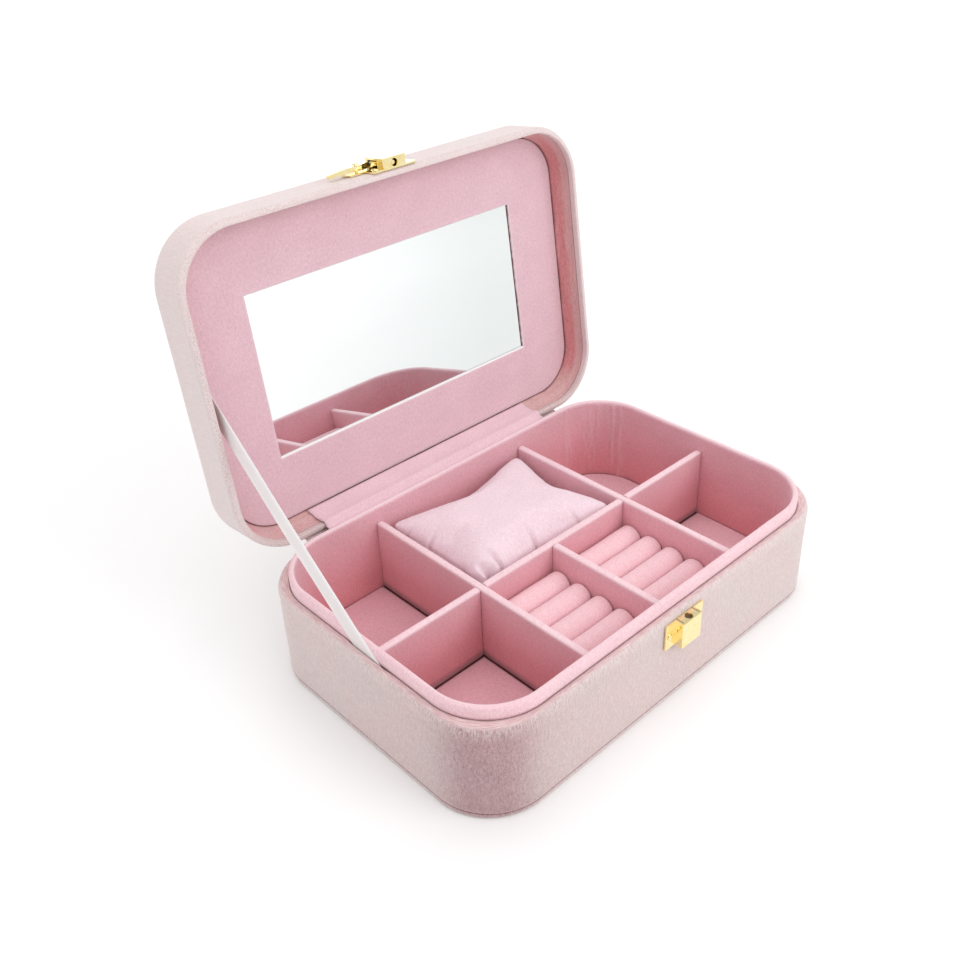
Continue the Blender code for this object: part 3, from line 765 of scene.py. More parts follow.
def build_card(name, axis, centre, start, end, low, top):
    """Suede-covered card standing on its long edge, with soft edges and wrapped ends."""
    t = HALF_T
    half = [(-t, low), (-t, low + 4.0), (-t - 0.02, low + 12.0), (-t - 0.04, 0.5 * (low + top)),
            (-t - 0.03, top - 8.0), (-t, top - 3.0), (-t, top - 1.5), (-t + 0.03, top - 0.8),
            (-t + 0.22, top - 0.3), (-t + 0.6, top - 0.06), (-t * 0.35, top + 0.02)]
    profile = half + [(-a, b) for a, b in reversed(half)]
    # glow: painted highlight on the rounded top edge; light: painted light on the top; dark:
    # painted shade at the foot; sink: painted shade growing down each face.
    glow = both_sides([0.0] * 6 + [0.05, 0.25, 0.60, 0.30, 0.16])
    light = both_sides([0.0] * 6 + [0.1, 0.5, 1.0, 1.0, 1.0])
    dark = both_sides([0.75, 0.22, 0.15, 0.07] + [0.0] * 7)
    sink = [unit((top - z) / 26.0) for _, z in profile]
    length = end - start
    steps = max(10, int(length / 2.6))
    stations = [(0.0, 0.35), (0.15, 0.7), (0.5, 0.93), (1.2, 1.0)]
    stations += [(1.2 + (length - 2.4) * k / steps, 1.0) for k in range(1, steps)]
    stations += [(length - 1.2, 1.0), (length - 0.5, 0.93), (length - 0.15, 0.7), (length, 0.35)]
    skin = Skin("fold", "crease", "pale", "deep")
    for d, fat in stations:
        ring = []
        for a, z in profile:
            drop = (1.0 - fat) * 0.9 * max(0.0, (z - top + 2.0) / 2.0)
            where = Vector((d / 21.0, z / 17.0, centre / 9.0 + (5.0 if a > 0 else 0.0)))
            swell = 0.10 * noise.noise(where)
            side = a * (0.55 + 0.45 * fat)
            side += (swell if abs(a) > 1.0 else 0.0) * (1 if a > 0 else -1)
            p = [0.0, 0.0, z - drop + 0.05 * drift(d / 7.0, 3.0, centre)]
            p[axis] = start + d
            p[1 - axis] = centre + side
            ring.append(p)
        # Drawn-in ends (fat below 0.5) get painted shade as well.
        skin.add(np.array(ring), fold=np.array(glow) * (0.8 + 0.2 * fat), pale=np.array(light),
                 crease=np.array(dark) + (0.8 if fat < 0.5 else 0.0), deep=np.array(sink))
    n = len(profile)
    u = np.cumsum([0.0] + [math.dist(profile[i], profile[i + 1]) for i in range(n - 1)])
    obj = skin.mesh(name + "_cover", (u, u[-1] + 3.4), False, CLOSED)
    return finish_piece(obj, "base", [name], SUEDE)


def build_dividers():
    gap = 0.15
    reach_y, reach_x = INNER[1] - gap, INNER[0] - gap
    low, top = FLOOR_Z + 0.3, DIVIDER_TOP
    build_card("divider_left", 1, -SIDE_X, -reach_y, reach_y, low, top)
    build_card("divider_right", 1, SIDE_X, -reach_y, reach_y, low, top)
    inner = SIDE_X - HALF_T - gap
    outer = SIDE_X + HALF_T + gap
    build_card("cross_divider_left", 0, CROSS_Y, -reach_x, -outer, low, top)
    build_card("cross_divider_middle", 0, CROSS_Y, -inner, inner, low, top)
    build_card("cross_divider_right", 0, CROSS_Y, outer, reach_x, low, top)
    build_card("ring_divider", 1, RING_X, -reach_y, CROSS_Y - HALF_T - gap, low, top)


def build_roll(side, number, x0, x1, y, z):
    """One soft ring roll: a plush tube whose ends are drawn in."""
    steps = 26
    radius = ROLL_RADIUS
    soft = 2.3
    stations = []
    for k in range(7):
        a = 0.5 * math.pi * k / 6
        stations.append((soft * (1.0 - math.cos(a)), radius - soft * 0.85 * (1.0 - math.sin(a))))
    length = x1 - x0
    inner = [(soft + (length - 2 * soft) * k / 14.0, radius) for k in range(1, 14)]
    stations = stations + inner + [(length - d, r) for d, r in reversed(stations)]
    rows, crease = [], []
    seed = number * 3.7 + (11.0 if side == "right" else 0.0)
    for d, r in stations:
        ring = []
        for k in range(steps):
            a = 2.0 * math.pi * k / steps
            puff = 0.16 * drift(d / 9.0 + seed, math.cos(a), math.sin(a))
            rr = r + puff - 0.10 * abs(math.cos(a)) ** 6
            ring.append((x0 + d, y + rr * math.cos(a), z + rr * math.sin(a)))
        rows.append(np.array(ring))
        # dark and low: painted shade at each roll's drawn-in ends and on its underside.
        dark = max(0.0, 1.0 - r / (radius - 0.9)) * 6.0
        low = [0.5 * max(0.0, -math.sin(2.0 * math.pi * k / steps)) for k in range(steps)]
        crease.append(np.clip(np.array(low) + dark, 0.0, 0.7))
    u = np.arange(steps) * 2.0 * math.pi * radius / steps
    name = "ring_roll_%s_%d" % (side, number)
    obj = grid_mesh(name + "_plush", rows, True, False, (u, 2.0 * math.pi * radius),
                    {"crease": crease}, CLOSED)
    finish_piece(obj, "base", [name], PLUSH)
    return obj


def build_rings():
    gap = 0.25
    spans = {"left": (-SIDE_X + HALF_T + gap, RING_X - HALF_T - gap),
             "right": (RING_X + HALF_T + gap, SIDE_X - HALF_T - gap)}
    back = CROSS_Y - HALF_T - 0.3
    for side, (x0, x1) in spans.items():
        for k in range(5):
            build_roll(side, k + 1, x0, x1, back - ROLL_PITCH * (k + 0.5), ROLL_Z)
        build_bed(side, x0, x1, -INNER[1] + 0.3, back)


def build_bed(side, x0, x1, y0, y1):
    """Foam bed under the rolls, its top hollowed to cradle each one."""
    rows = []
    ys = np.linspace(y0 + 0.4, y1 - 0.4, 62)
    for x, edge in ((x0, 0.5), (x0 + 0.5, 0.0), (x1 - 0.5, 0.0), (x1, 0.5)):
        top = []
        for y in ys:
            phase = ((y1 - y) % ROLL_PITCH) / ROLL_PITCH
            cradle = 0.9 - 1.2 * math.sin(math.pi * phase) ** 2
            top.append((x, y, 20.8 + cradle - edge))
        ring = [(x, y0, 8.4 + edge)] + [(x, y0, 19.0)] + top + [(x, y1, 19.0), (x, y1, 8.4 + edge)]
        rows.append(np.array(ring))
    u = np.concatenate([[0.0], np.cumsum(np.linalg.norm(np.diff(rows[1], axis=0), axis=1))])
    obj = grid_mesh("ring_bed_%s_foam" % side, rows, True, False, (u, u[-1] + 60.0), None,
                    CLOSED)
    finish_piece(obj, "base", ["ring_bed_" + side], FOAM)
    return obj


# ---------------------------------------------------------------- cushion

def seam_height(u, v):
    """The pillow's seam lies high and climbs to its four corners."""
    return 36.6 + 3.4 * np.abs(u * v) ** 1.5


def cushion_start():
    """Pillow before it is filled: pointed corners, edges pulled in, deep underside."""
    verts, faces, index = [], [], {}
    nu, nv = 44, 36
    hx, hy, cy = PILLOW_BOX

    def vertex(i, j, side):
        key = (i, j, 0 if i in (0, nu) or j in (0, nv) else side)
        if key not in index:
            u = math.sin(0.5 * math.pi * (2.0 * i / nu - 1.0))
            v = math.sin(0.5 * math.pi * (2.0 * j / nv - 1.0))
            pull_x = 1.0 - 0.055 * (1.0 - v * v)
            pull_y = 1.0 - (0.115 if v > 0.0 else 0.05) * (1.0 - u * u) ** 0.8
            if side > 0:
                z = 8.4 * ((1.0 - abs(u) ** 5.5) * (1.0 - abs(v) ** 5.5)) ** 0.42
            else:
                z = -25.5 * ((1.0 - abs(u) ** 8) * (1.0 - abs(v) ** 8)) ** 0.45
            index[key] = len(verts)
            verts.append((hx * u * pull_x, cy + hy * v * pull_y, float(seam_height(u, v)) + z))
        return index[key]

    for side in (1, -1):
        for i in range(nu):
            for j in range(nv):
                quad = [vertex(i, j, side), vertex(i + 1, j, side),
                        vertex(i + 1, j + 1, side), vertex(i, j + 1, side)]
                faces.append(quad if side > 0 else quad[::-1])
    return verts, faces


def swell(obj, pressure, cap_mm, frames):
    """Fill a closed cloth bag by simulation and keep each point within cap_mm of its start."""
    rest = np.array([v.co for v in obj.data.vertices], float)
    mod = obj.modifiers.new("fill", "CLOTH")
    mod.settings.quality = 6
    mod.settings.use_pressure = True
    mod.settings.uniform_pressure_force = pressure
    mod.settings.effector_weights.gravity = 0.0
    mod.settings.tension_stiffness = 22.0
    mod.settings.compression_stiffness = 22.0
    mod.settings.shear_stiffness = 9.0
    mod.settings.bending_stiffness = 0.35
    mod.point_cache.frame_start = 1
    mod.point_cache.frame_end = frames
    for f in range(1, frames + 1):
        SCENE.frame_set(f)
    graph = bpy.context.evaluated_depsgraph_get()
    done = np.array([v.co for v in obj.evaluated_get(graph).data.vertices], float)
    obj.modifiers.clear()
    SCENE.frame_set(1)
    if len(done) != len(rest) or not np.isfinite(done).all():
        return rest
    move = done - rest
    size = np.linalg.norm(move, axis=1)
    keep = np.minimum(1.0, cap_mm * MM / np.maximum(size, 1e-9))
    return rest + move * keep[:, None]


def tuck(points, place, along_dir, length, width, depth):
    """Press a tapering crease into the cushion from one edge point inwards."""
    px, py = place
    dx, dy = along_dir
    size = math.hypot(dx, dy)
    dx, dy = dx / size, dy / size
    rel_x, rel_y = points[:, 0] - px, points[:, 1] - py
    run = rel_x * dx + rel_y * dy
    across = -rel_x * dy + rel_y * dx
    taper = np.clip(1.0 - run / length, 0.0, 1.0) ** 1.2 * (run > -4.0)
    top = np.clip((points[:, 2] - 33.0) / 4.0, 0.0, 1.0)
    wide = width * (0.45 + 0.55 * taper)
    dip = np.exp(-(across / wide) ** 2)
    dip -= 0.35 * np.exp(-((np.abs(across) - 1.9 * wide) / wide) ** 2)
    return depth * taper * top * dip


def build_cushion():
    verts, faces = cushion_start()
    obj = make_mesh("watch_cushion_cloth", verts, faces)
    fix_normals(obj)
    mod = obj.modifiers.new("even", "REMESH")
    mod.mode = "VOXEL"
    mod.voxel_size = 0.0019
    graph = bpy.context.evaluated_depsgraph_get()
    even = bpy.data.meshes.new_from_object(obj.evaluated_get(graph))
    obj.modifiers.clear()
    obj.data = even
    points = swell(obj, 4.0, 5.0, 20)
    even.vertices.foreach_set("co", points.astype(np.float32).ravel())
    sub = obj.modifiers.new("fine", "SUBSURF")
    sub.levels = sub.render_levels = 1
    graph = bpy.context.evaluated_depsgraph_get()
    fine = bpy.data.meshes.new_from_object(obj.evaluated_get(graph))
    obj.modifiers.clear()
    obj.data = fine
    obj.data.name = "watch_cushion_cloth"
    shape_cushion(fine, np.array([v.co for v in fine.vertices], float) / MM)
    paint_cushion(obj)
    finish_piece(obj, "watch_cushion", ["watch_cushion"], PILLOW)
    return obj


def seam_mask(p, width):
    """How close each point is to the stitched seam round the pillow's edge."""
    hx, hy, cy = PILLOW_BOX
    u, v = p[:, 0] / hx, (p[:, 1] - cy) / hy
    edge = np.clip((np.maximum(np.abs(u), np.abs(v)) - 0.72) / 0.15, 0.0, 1.0)
    return edge * np.exp(-((p[:, 2] - seam_height(u, v)) / width) ** 2)


def shape_cushion(mesh, p):
    """Seam, flat underside, creases and the room its compartment leaves."""
    out = p[:, :2] - np.array([0.0, PILLOW_BOX[2]])
    size = np.linalg.norm(out, axis=1)[:, None]
    p[:, :2] -= out / np.maximum(size, 1e-6) * (seam_mask(p, 0.9) * 0.45)[:, None]
    for args in CREASES:
        p[:, 2] -= tuck(p, *args)
    bumpy = ripple(p, 0.75, 16.0, 21.0) + ripple(p, 0.30, 6.0, 4.0)
    p[:, 2] += bumpy * np.clip((p[:, 2] - 33.0) / 6.0, 0.0, 1.0)
    p[:, 2] = np.clip(p[:, 2], 8.35, 48.2)
    for axis, centre, limit in ((0, 0.0, 43.4), (1, PILLOW_BOX[2], 32.7)):
        off = p[:, axis] - centre
        p[:, axis] = centre + np.clip(off, -limit, limit)
    mesh.vertices.foreach_set("co", (p * MM).astype(np.float32).ravel())
    mesh.update()


# Creases of the cushion: place, direction inwards, length, width and depth.
CREASES = [((-4.9, 1.0), (0.15, 1.0), 15.0, 1.4, 5.5), ((-28.1, 1.0), (0.0, 1.0), 15.0, 1.5, 6.0),
           ((-35.4, 1.0), (-0.08, 1.0), 11.0, 2.4, 9.0),
           ((-43.0, 40.6), (1.0, 0.13), 12.0, 1.5, 4.0),
           ((-42.5, 55.0), (1.0, -0.3), 9.0, 1.2, 2.0), ((22.0, 2.0), (-0.2, 1.0), 9.0, 1.2, 2.0),
           ((41.0, 38.0), (-1.0, 0.1), 9.0, 1.6, 1.6), ((-6.0, 60.0), (0.1, -1.0), 8.0, 3.0, 1.6)]


def paint_cushion(obj):
    """Cloth map by box projection in millimetres, and a painted-shade mask along the creases and
    seam.
    """
    mesh = obj.data
    p = np.array([v.co for v in mesh.vertices], float) / MM
    layer = mesh.uv_layers.get("cloth") or mesh.uv_layers.new(name="cloth")
    for poly in mesh.polygons:
        n = poly.normal
        pick = (0, 1) if abs(n.z) > 0.55 else ((1, 2) if abs(n.x) > abs(n.y) else (0, 2))
        for k in poly.loop_indices:
            co = p[mesh.loops[k].vertex_index]
            layer.data[k].uv = (co[pick[0]], co[pick[1]])
    # Painted shade in the tucks and along the seam.
    dark = np.zeros(len(p))
    for args in CREASES:
        dark += np.clip(tuck(p, *args) / max(args[4], 1.0), 0.0, 1.0) * 0.42
    dark += 0.5 * seam_mask(p, 0.6)
    attribute = mesh.attributes.get("crease") or mesh.attributes.new("crease", "FLOAT", "POINT")
    attribute.data.foreach_set("value", np.clip(dark, 0.0, 0.6).astype(np.float32))
    mesh.polygons.foreach_set("use_smooth", [True] * len(mesh.polygons))


# ---------------------------------------------------------------- lid

def build_lid_velvet():
    """Velvet over the lid's top and wall, turned in at the rim."""
    counts = WALL_COUNTS
    skin = Skin("fold", "inner", "pepper", "pale")

    def add(d, z, fold=0.0, inner=0.0, pepper=0.0, wobble=0.0):
        ring = ring_at(CASE, d, z, counts)
        if wobble:
            move = ripple(ring, wobble, 17.0, 40.0) + ripple(ring, wobble * 0.5, 5.0, 12.0)
            ring[:, :2] += outward(ring[:, :2]) * move[:, None]
        # pale: painted light, 0.35 over the top and 0.85 elsewhere, taken away along the rim
        # beside the hinge, where dark speckle shows instead.
        rim_and_hinge_zone = near_hinge(ring) if 2.3 < d < 3.0 and z < 50.2 else 0.0
        skin.add(ring, fold=fold, inner=inner, pepper=np.maximum(pepper, 0.8 * rim_and_hinge_zone),
                 pale=(0.35 if z > 70.6 else 0.85) * (1.0 - rim_and_hinge_zone))

    for d, z in ((60.0, 71.3), (46.0, 71.25), (30.0, 71.15), (18.0, 71.0), (10.0, 70.85),
                 (6.5, 70.7)):
        add(d, z)
    for k in range(9):
        a = 0.5 * math.pi * k / 8
        add(5.0 * (1.0 - math.sin(a)), 66.0 + 4.55 * math.cos(a), wobble=0.06)
    for z in np.linspace(64.8, 51.2, 11):
        add(0.0, z, wobble=0.10)
    rise = rim_profile(2.1, 3.4, 10)
    for k, (d, h) in enumerate(rise):
        place = k / (len(rise) - 1)
        # glow: painted highlight along the rim fold, near the start of the turn.
        glow = math.exp(-((place - 0.12) / 0.10) ** 2)
        add(d - 0.35 * math.sin(math.pi * place), 50.1 - h, 0.5 * glow, 0.0,
            0.8 * min(1.0, max(0.0, place - 0.15) * 2.5), 0.05)
    # Rows as inset, height, fold, inner, pepper, wobble: the fold values paint highlight lines
    # inside the turned-in rim.
    for row in ((2.45, 46.62, 0.0, 0.05, 0.6), (2.75, 46.75, 0.2, 0.05, 0.4),
                (2.9, 47.1, 0.7, 0.0, 0.2), (2.93, 47.6, 0.4, 0.1, 0.5),
                (2.93, 48.6, 0.2, 0.15, 0.6), (2.93, 49.6, 0.7, 0.1, 0.2),
                (2.75, 49.9, 0.0, 0.5, 0.5), (0.85, 49.9), (0.85, 66.2), (1.3, 67.6),
                (2.2, 68.8), (3.6, 69.55), (5.6, 69.9), (30.0, 70.0), (60.0, 70.0)):
        add(*row)
    obj = skin.mesh("lid_velvet", along(loop(*CASE, counts)), False, CLOSED)
    top_map(obj)
    open_object(obj)
    return finish_piece(obj, "lid", ["lid_velvet_wrap"], VELVET)


def top_map(obj):
    """Lay the cloth map flat over faces that look up or down."""
    mesh = obj.data
    layer = mesh.uv_layers["cloth"]
    for poly in mesh.polygons:
        if abs(poly.normal.z) > 0.8:
            for k in poly.loop_indices:
                co = mesh.vertices[mesh.loops[k].vertex_index].co
                layer.data[k].uv = (co.x / MM, co.y / MM)


def build_lid_lining():
    """Padded side lining of the lid, leaning in towards the mirror panel."""
    counts = DENSE_COUNTS
    s, total = along(loop(*CASE, counts))
    skin = Skin("fold", "crease", "pale", "deep", "speckle")

    def add(d, z, fold=0.0, crease=0.0):
        ring = ring_at(CASE, d, z, counts)
        # Along the rim and beside the hinge: speckled velvet with a little painted light (pale);
        # elsewhere deep paints shade further into the lid.
        rim_and_hinge_zone = np.maximum(unit((55.2 - z) / 2.0), near_hinge(ring))
        skin.add(ring, fold=fold, crease=crease, pale=0.22 * rim_and_hinge_zone, speckle=0.8 * rim_and_hinge_zone,
                 deep=0.95 * (1.0 - rim_and_hinge_zone))

    # Rows as inset, height, fold, crease: crease paints shade at both ends of the lining, fold a
    # highlight where it turns over the rim.
    for row in ((2.35, 64.2, 0.0, 1.0), (2.35, 50.6, 0.0, 0.6), (2.6, 50.2, 0.3),
                (2.85, 50.1, 0.4)):
        add(*row)
    for z in np.linspace(50.3, 60.3, 20):
        lean = 2.95 + 2.35 * max(0.0, (z - 53.0) / 7.0) ** 0.9
        long_wave = np.array([drift(a / 22.0, z / 2.6, 31.0) for a in s])
        fine_wave = np.array([drift(a / 6.0, z / 1.4, 57.0) for a in s])
        wrinkle = 0.42 * long_wave + 0.22 * fine_wave
        room = 0.45 * unit((z - 53.4) / 1.5)
        # fold: painted highlight on wrinkle crests; crease: painted shade rising towards the
        # panel.
        add(lean + np.clip(wrinkle, -0.28, room), z, np.clip(wrinkle * 0.5, 0.0, 0.3),
            0.9 * max(0.0, (z - 59.6)))
    # Painted shade where the lining runs in behind the mirror panel.
    add(5.3, 62.0, 0.0, 1.0)
    add(5.3, 64.2, 0.0, 1.0)
    obj = open_object(skin.mesh("lid_lining", (s, total)))
    return finish_piece(obj, "lid", ["lid_liner_wall"], SHADED_LINING_VELVET)


def build_mirror_panel():
    """Suede-covered frame round the mirror; its window edge is cut and shows pale."""
    counts = WALL_COUNTS
    wx, hx, hy = WINDOW
    skin = Skin("fold", "crease", "cut")

    def cut(grow, z):
        ring = rectangle_like(hx + grow, hy + grow)
        return np.column_stack([ring + np.array([wx, 0.0]), np.full(len(ring), z)])

    # Rows as inset, height, fold, crease: crease paints shade where the frame meets the lining,
    # fold a faint highlight on its turn.
    for d, z, fold, crease in ((5.95, 61.1, 0.0, 0.8), (5.75, 60.7, 0.0, 0.2),
                               (5.85, 60.3, 0.1, 0.0), (6.4, 60.12, 0.16, 0.0)):
        skin.add(ring_at(CASE, d, z, counts), fold=fold, crease=crease)
    for t in (0.12, 0.25, 0.4, 0.55, 0.7, 0.85, 0.95):
        ring = ring_at(CASE, 6.2, 60.1, counts) * (1.0 - t) + cut(0.5, 60.1) * t
        ring[:, 2] -= ripple(ring, 0.08, 20.0, 8.0)
        skin.add(ring)
    edge = cut(0.0, 61.25)
    # crease: painted shade in the gap along the upright window edges, broken in places; cut: the
    # pale cut edge, mostly on the long sides; fold: a faint painted highlight beside the window.
    upright = (np.abs(edge[:, 0] - wx) > hx - 0.05).astype(float)
    broken = np.clip(0.55 + ripple(edge, 1.6, 2.0, 5.0), 0.0, 0.9)
    skin.add(cut(0.7, 60.12), fold=0.1)
    skin.add(cut(0.55, 60.2), fold=0.2, cut=0.7)
    skin.add(cut(0.0, 61.0), crease=upright * broken, cut=1.0 - upright)
    skin.add(edge, crease=upright, cut=1.0 - upright)
    skin.add(cut(1.0, 61.3), crease=upright, cut=0.6)
    obj = skin.mesh("mirror_frame", along(loop(*CASE, counts)))
    top_map(obj)
    open_object(obj)
    return finish_piece(obj, "lid", ["mirror_panel"], LIT_PANEL_SUEDE)


def rectangle_like(hx, hy):
    """Points on a sharp rectangle matching an outline's corners and sides."""
    corner, long_side, short_side = WALL_COUNTS
    half = corner // 2
    ends = []
    for k, (sx, sy) in enumerate(CORNERS):
        pair = [Vector((sx * hx, sy * (hy - TURN))), Vector((sx * (hx - TURN), sy * hy))]
        ends.append(pair if k % 2 == 0 else pair[::-1])
    out = []
    for k, (sx, sy) in enumerate(CORNERS):
        first, last = ends[k]
        mid, target = Vector((sx * hx, sy * hy)), ends[(k + 1) % 4][0]
        steps = long_side if k % 2 == 0 else short_side
        out += [first.lerp(mid, i / half) for i in range(half)]
        out += [mid.lerp(last, (i - half) / (corner - half)) for i in range(half, corner)]
        out += [last.lerp(target, i / steps) for i in range(steps)]
    return np.array([(p.x, p.y) for p in out])


def build_lid_padding():
    counts = (12, 16, 10)
    rows = []
    for d, z in ((1.35, 66.45), (1.6, 67.4), (2.5, 68.5), (4.0, 69.25), (8.0, 69.6), (20.0, 69.75),
                 (40.0, 69.8)):
        ring = ring_at(CASE, d, z, counts)
        ring[:, 2] += ripple(ring, 0.08, 14.0, 6.0) if z > 69.0 else 0.0
        rows.append(ring)
    s, total = along(loop(*CASE, counts))
    obj = grid_mesh("lid_top_foam", rows, True, False, (s, total), None, CLOSED)
    open_object(obj)
    finish_piece(obj, "lid", ["lid_top_padding"], FOAM)
    return obj


# ---------------------------------------------------------------- strips and ribbon

def smooth_path(points, count):
    """Even points along a rounded version of a path."""
    pts = [Vector((0.0, y, z)) for y, z in points]
    for _ in range(3):
        new = [pts[0]]
        for a, b in zip(pts[:-1], pts[1:]):
            new += [a.lerp(b, 0.25), a.lerp(b, 0.75)]
        pts = new + [pts[-1]]
    arr = np.array([(p.y, p.z) for p in pts])
    run = np.concatenate([[0.0], np.cumsum(np.linalg.norm(np.diff(arr, axis=0), axis=1))])
    t = np.linspace(0.0, run[-1], count)
    return np.column_stack([np.interp(t, run, arr[:, 0]), np.interp(t, run, arr[:, 1])]), run[-1]


def opened_yz(y, z):
    p = open_points([(0.0, y, z)])[0]
    return float(p[1]), float(p[2])


def build_strip(name, node, path, thickness, centre_x, half_x, material, seed):
    """Cloth strip following a path in the YZ plane, with slightly wavy ends."""
    line, length = smooth_path(path, 34)
    tangent = np.gradient(line, axis=0)
    tangent /= np.linalg.norm(tangent, axis=1)[:, None]
    side = np.column_stack([-tangent[:, 1], tangent[:, 0]])
    columns = 72
    us = np.linspace(-1.0, 1.0, columns)
    rows, fold = [], []
    outline = [(u, 1.0) for u in us] + [(u, -1.0) for u in us[::-1]]
    for k in range(len(line)):
        ring = []
        for u, w in outline:
            ragged = 0.25 * drift(k / 3.0, seed, u * 2.0)
            lift = 0.10 * drift(u * half_x / 14.0, line[k][1] / 5.0, seed)
            off = side[k] * (w * thickness * 0.5 + lift)
            ring.append((centre_x + u * (half_x + ragged), *(line[k] + off)))
        rows.append(np.array(ring))
        fold.append(np.array([0.25 if abs(u) > 0.985 else 0.0 for u, w in outline]))
    u_len = np.concatenate([(us + 1.0) * half_x, 4.0 * half_x - (us[::-1] + 1.0) * half_x])
    obj = grid_mesh(name, rows, True, False, (u_len, 4.0 * half_x + 1.0), {"fold": fold}, CLOSED)
    finish_piece(obj, None, [node], material)
    return obj


def build_hinges():
    """Inner suede and outer velvet hinge cloths along the back edge."""
    inner = [(69.15, 41.0), (69.15, 48.4), (69.6, 50.0), (70.8, 50.7), (71.9, 50.8), (72.7, 51.3),
             (73.1, 52.3), (73.9, 53.0)]
    inner += [opened_yz(68.3, 49.3), opened_yz(68.2, 53.0), opened_yz(66.3, 59.3)]
    a = build_strip("inner_hinge_cloth", "hinge_strip_inner", inner, 0.4, -1.5, 68.5, LIT_STRIP_SUEDE, 2.0)
    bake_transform(a)
    outer = [(72.6, 30.0), (72.6, 44.6), (72.85, 46.3), (73.6, 47.5)]
    outer += [opened_yz(72.55, 49.4), opened_yz(72.55, 62.0)]
    b = build_strip("outer_hinge_cloth", "hinge_strip_outer", outer, 0.6, 0.0, 80.0, VELVET, 6.0)
    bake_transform(b)


def build_ribbon():
    """Flat satin stay from the groove beside the collar up into the lid lining."""
    low = Vector((-106.75, -9.6, 40.5))
    top = Vector(tuple(open_points([(-104.3, -5.1, 60.5)])[0]))
    run = Vector((0.0, top.y - low.y, top.z - low.z))
    run.normalize()
    across = Vector((0.0, -run.z, run.y))
    steps, half_w, half_t = 90, 5.0, 0.13
    cross = [(-1.0, 1.0), (-0.9, 1.25), (-0.45, 1.0), (0.0, 1.0), (0.45, 1.0), (0.9, 1.25),
             (1.0, 1.0)]
    outline = cross + [(w, -t) for w, t in reversed(cross)]
    rows, fold = [], []
    for k in range(steps + 1):
        t = k / steps
        p = low.lerp(top, t)
        lean = max(0.0, (p.z - 51.6) / (top.z - 51.6))
        p.x = low.x + (top.x - low.x) * lean + 0.12 * math.sin(t * 9.0)
        ring = []
        for w, thick in outline:
            q = p + across * (half_w * w)
            cup = 0.10 * (w * w)
            ring.append((q.x + half_t * thick + cup, q.y, q.z))
        rows.append(np.array(ring))
        fold.append(np.array([0.75 if abs(w) > 0.85 else 0.0 for w, _ in outline]))
    n = len(outline)
    u = np.concatenate([[0.0], np.cumsum([half_w * abs(outline[i + 1][0] - outline[i][0])
                                          for i in range(n - 1)])])
    obj = grid_mesh("ribbon_stay", rows, True, False, (u, u[-1] + 0.5), {"fold": fold}, CLOSED)
    finish_piece(obj, None, ["stay_ribbon"], RIBBON)
    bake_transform(obj)
    return obj


# ---------------------------------------------------------------- metal and boards

def dress_cad():
    """Materials and softened edges for the CAD nodes that stay."""
    kinds = {"catch": GOLD, "latch": GOLD, "mirror_glass": MIRROR, "base_bottom": PAPER}
    for name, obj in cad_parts.items():
        if obj.hide_render:
            continue
        material = BOARD
        for start, chosen in kinds.items():
            if name.startswith(start):
                material = chosen
        obj.data.materials.clear()
        obj.data.materials.append(material)
        if material is GOLD or material is PAPER:
            mod = obj.modifiers.new("soft_edges", "BEVEL")
            mod.width = 0.00016 if material is GOLD else 0.0002
            mod.segments = 3
            mod.limit_method = "ANGLE"
            mod.angle_limit = math.radians(32.0)


# ---------------------------------------------------------------- stage

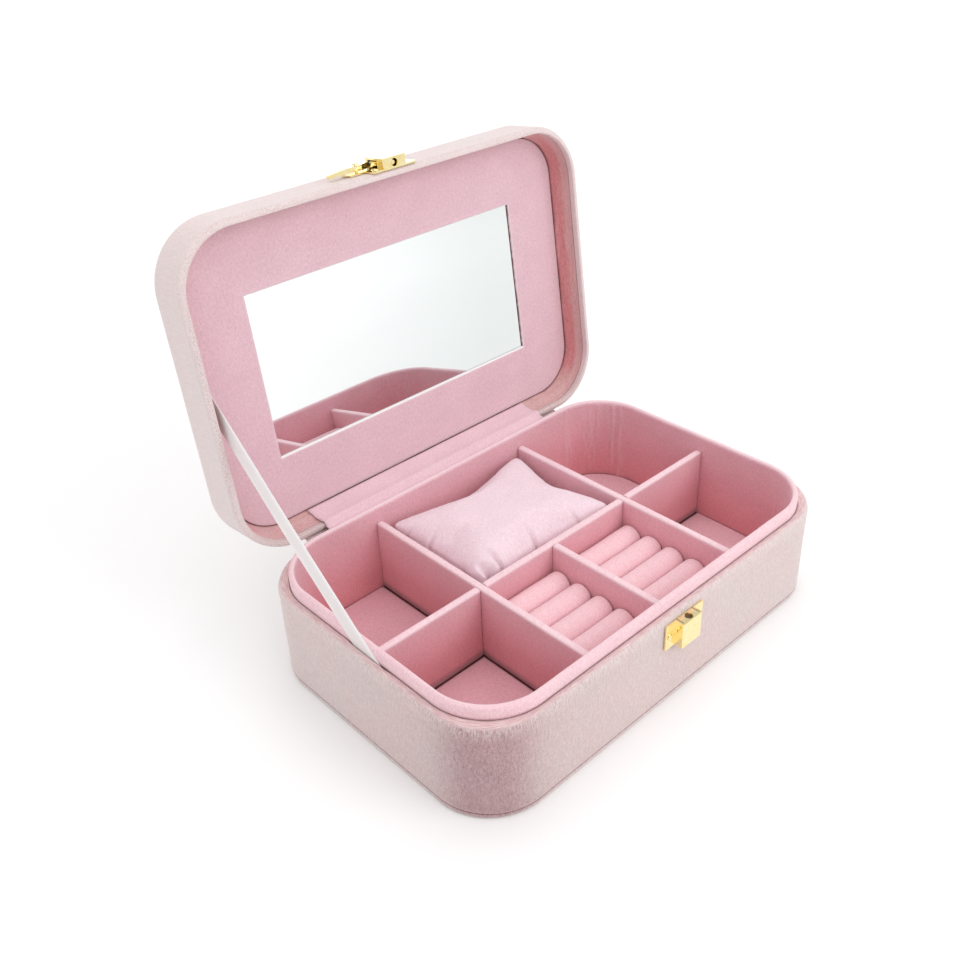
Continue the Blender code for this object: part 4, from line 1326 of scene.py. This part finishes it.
def build_camera():
    spot = Vector((-277.42, -263.66, 323.16)) * MM
    yaw, pitch, roll = (math.radians(v) for v in (42.14, 32.05, -2.48))
    forward = Vector((math.sin(yaw) * math.cos(pitch), math.cos(yaw) * math.cos(pitch),
                      -math.sin(pitch)))
    right = Vector((math.cos(yaw), -math.sin(yaw), 0.0))
    up = right.cross(forward)
    c, s = math.cos(roll), math.sin(roll)
    right, up = right * c + up * s, -right * s + up * c
    matrix = Matrix((right, up, -forward)).transposed().to_4x4()
    matrix.translation = spot
    data = bpy.data.cameras.new("camera")
    data.sensor_width = 36.0
    data.lens = 39.83
    data.shift_x = -4.59 / 960.0
    data.shift_y = -15.84 / 960.0
    data.clip_start = 0.01
    camera = bpy.data.objects.new("camera", data)
    SCENE.collection.objects.link(camera)
    camera.matrix_world = matrix
    SCENE.camera = camera


def add_light(name, place, target, size, watts):
    data = bpy.data.lights.new(name, "AREA")
    data.shape = "RECTANGLE"
    data.size, data.size_y = size
    data.energy = watts
    obj = bpy.data.objects.new(name, data)
    SCENE.collection.objects.link(obj)
    obj.location = place
    obj.rotation_euler = (Vector(target) - Vector(place)).to_track_quat("-Z", "Y").to_euler()


def build_stage():
    s = Shader("studio_floor")
    cloud = s.noise(s.solid(240.0), 2.0, 0.5)
    mat = s.finish(s.ramp(cloud, [(0.3, (0.945, 0.945, 0.945)), (0.7, (0.96, 0.96, 0.96))]), 0.75,
                   None, None, Specular_IOR_Level=0.2)
    r = 4000.0
    floor = make_mesh("floor", [(-r, -r, 0), (r, -r, 0), (r, r, 0), (-r, r, 0)], [(0, 1, 2, 3)])
    floor.data.materials.append(mat)
    world = bpy.data.worlds.new("studio")
    SCENE.world = world
    world.use_nodes = True
    world.node_tree.nodes["Background"].inputs[0].default_value = (1.0, 1.0, 1.0, 1.0)
    world.node_tree.nodes["Background"].inputs[1].default_value = 0.69
    sun = bpy.data.lights.new("overhead", "SUN")
    sun.energy = 0.72
    sun.angle = math.radians(85.0)
    top = bpy.data.objects.new("overhead", sun)
    SCENE.collection.objects.link(top)
    top.rotation_euler = (math.radians(10.0), math.radians(-8.0), 0.0)
    add_light("softbox", (0.0, 0.35, 1.6), (0.0, 0.05, 0.1), (2.0, 2.0), 4.2)
    add_light("rear", (1.5, 1.95, 0.7), (0.0, 0.1, 0.2), (2.0, 1.25), 9.0)
    add_light("key", (0.5, -1.2, 0.9), (0.0, 0.0, 0.05), (0.9, 0.7), 5.5)
    SCENE.view_settings.view_transform = "Standard"


def main():
    build_camera()
    build_base_velvet()
    build_collar()
    build_floor()
    build_dividers()
    build_rings()
    build_cushion()
    build_lid_velvet()
    build_lid_lining()
    build_mirror_panel()
    build_lid_padding()
    build_hinges()
    build_ribbon()
    dress_cad()
    build_stage()


main()
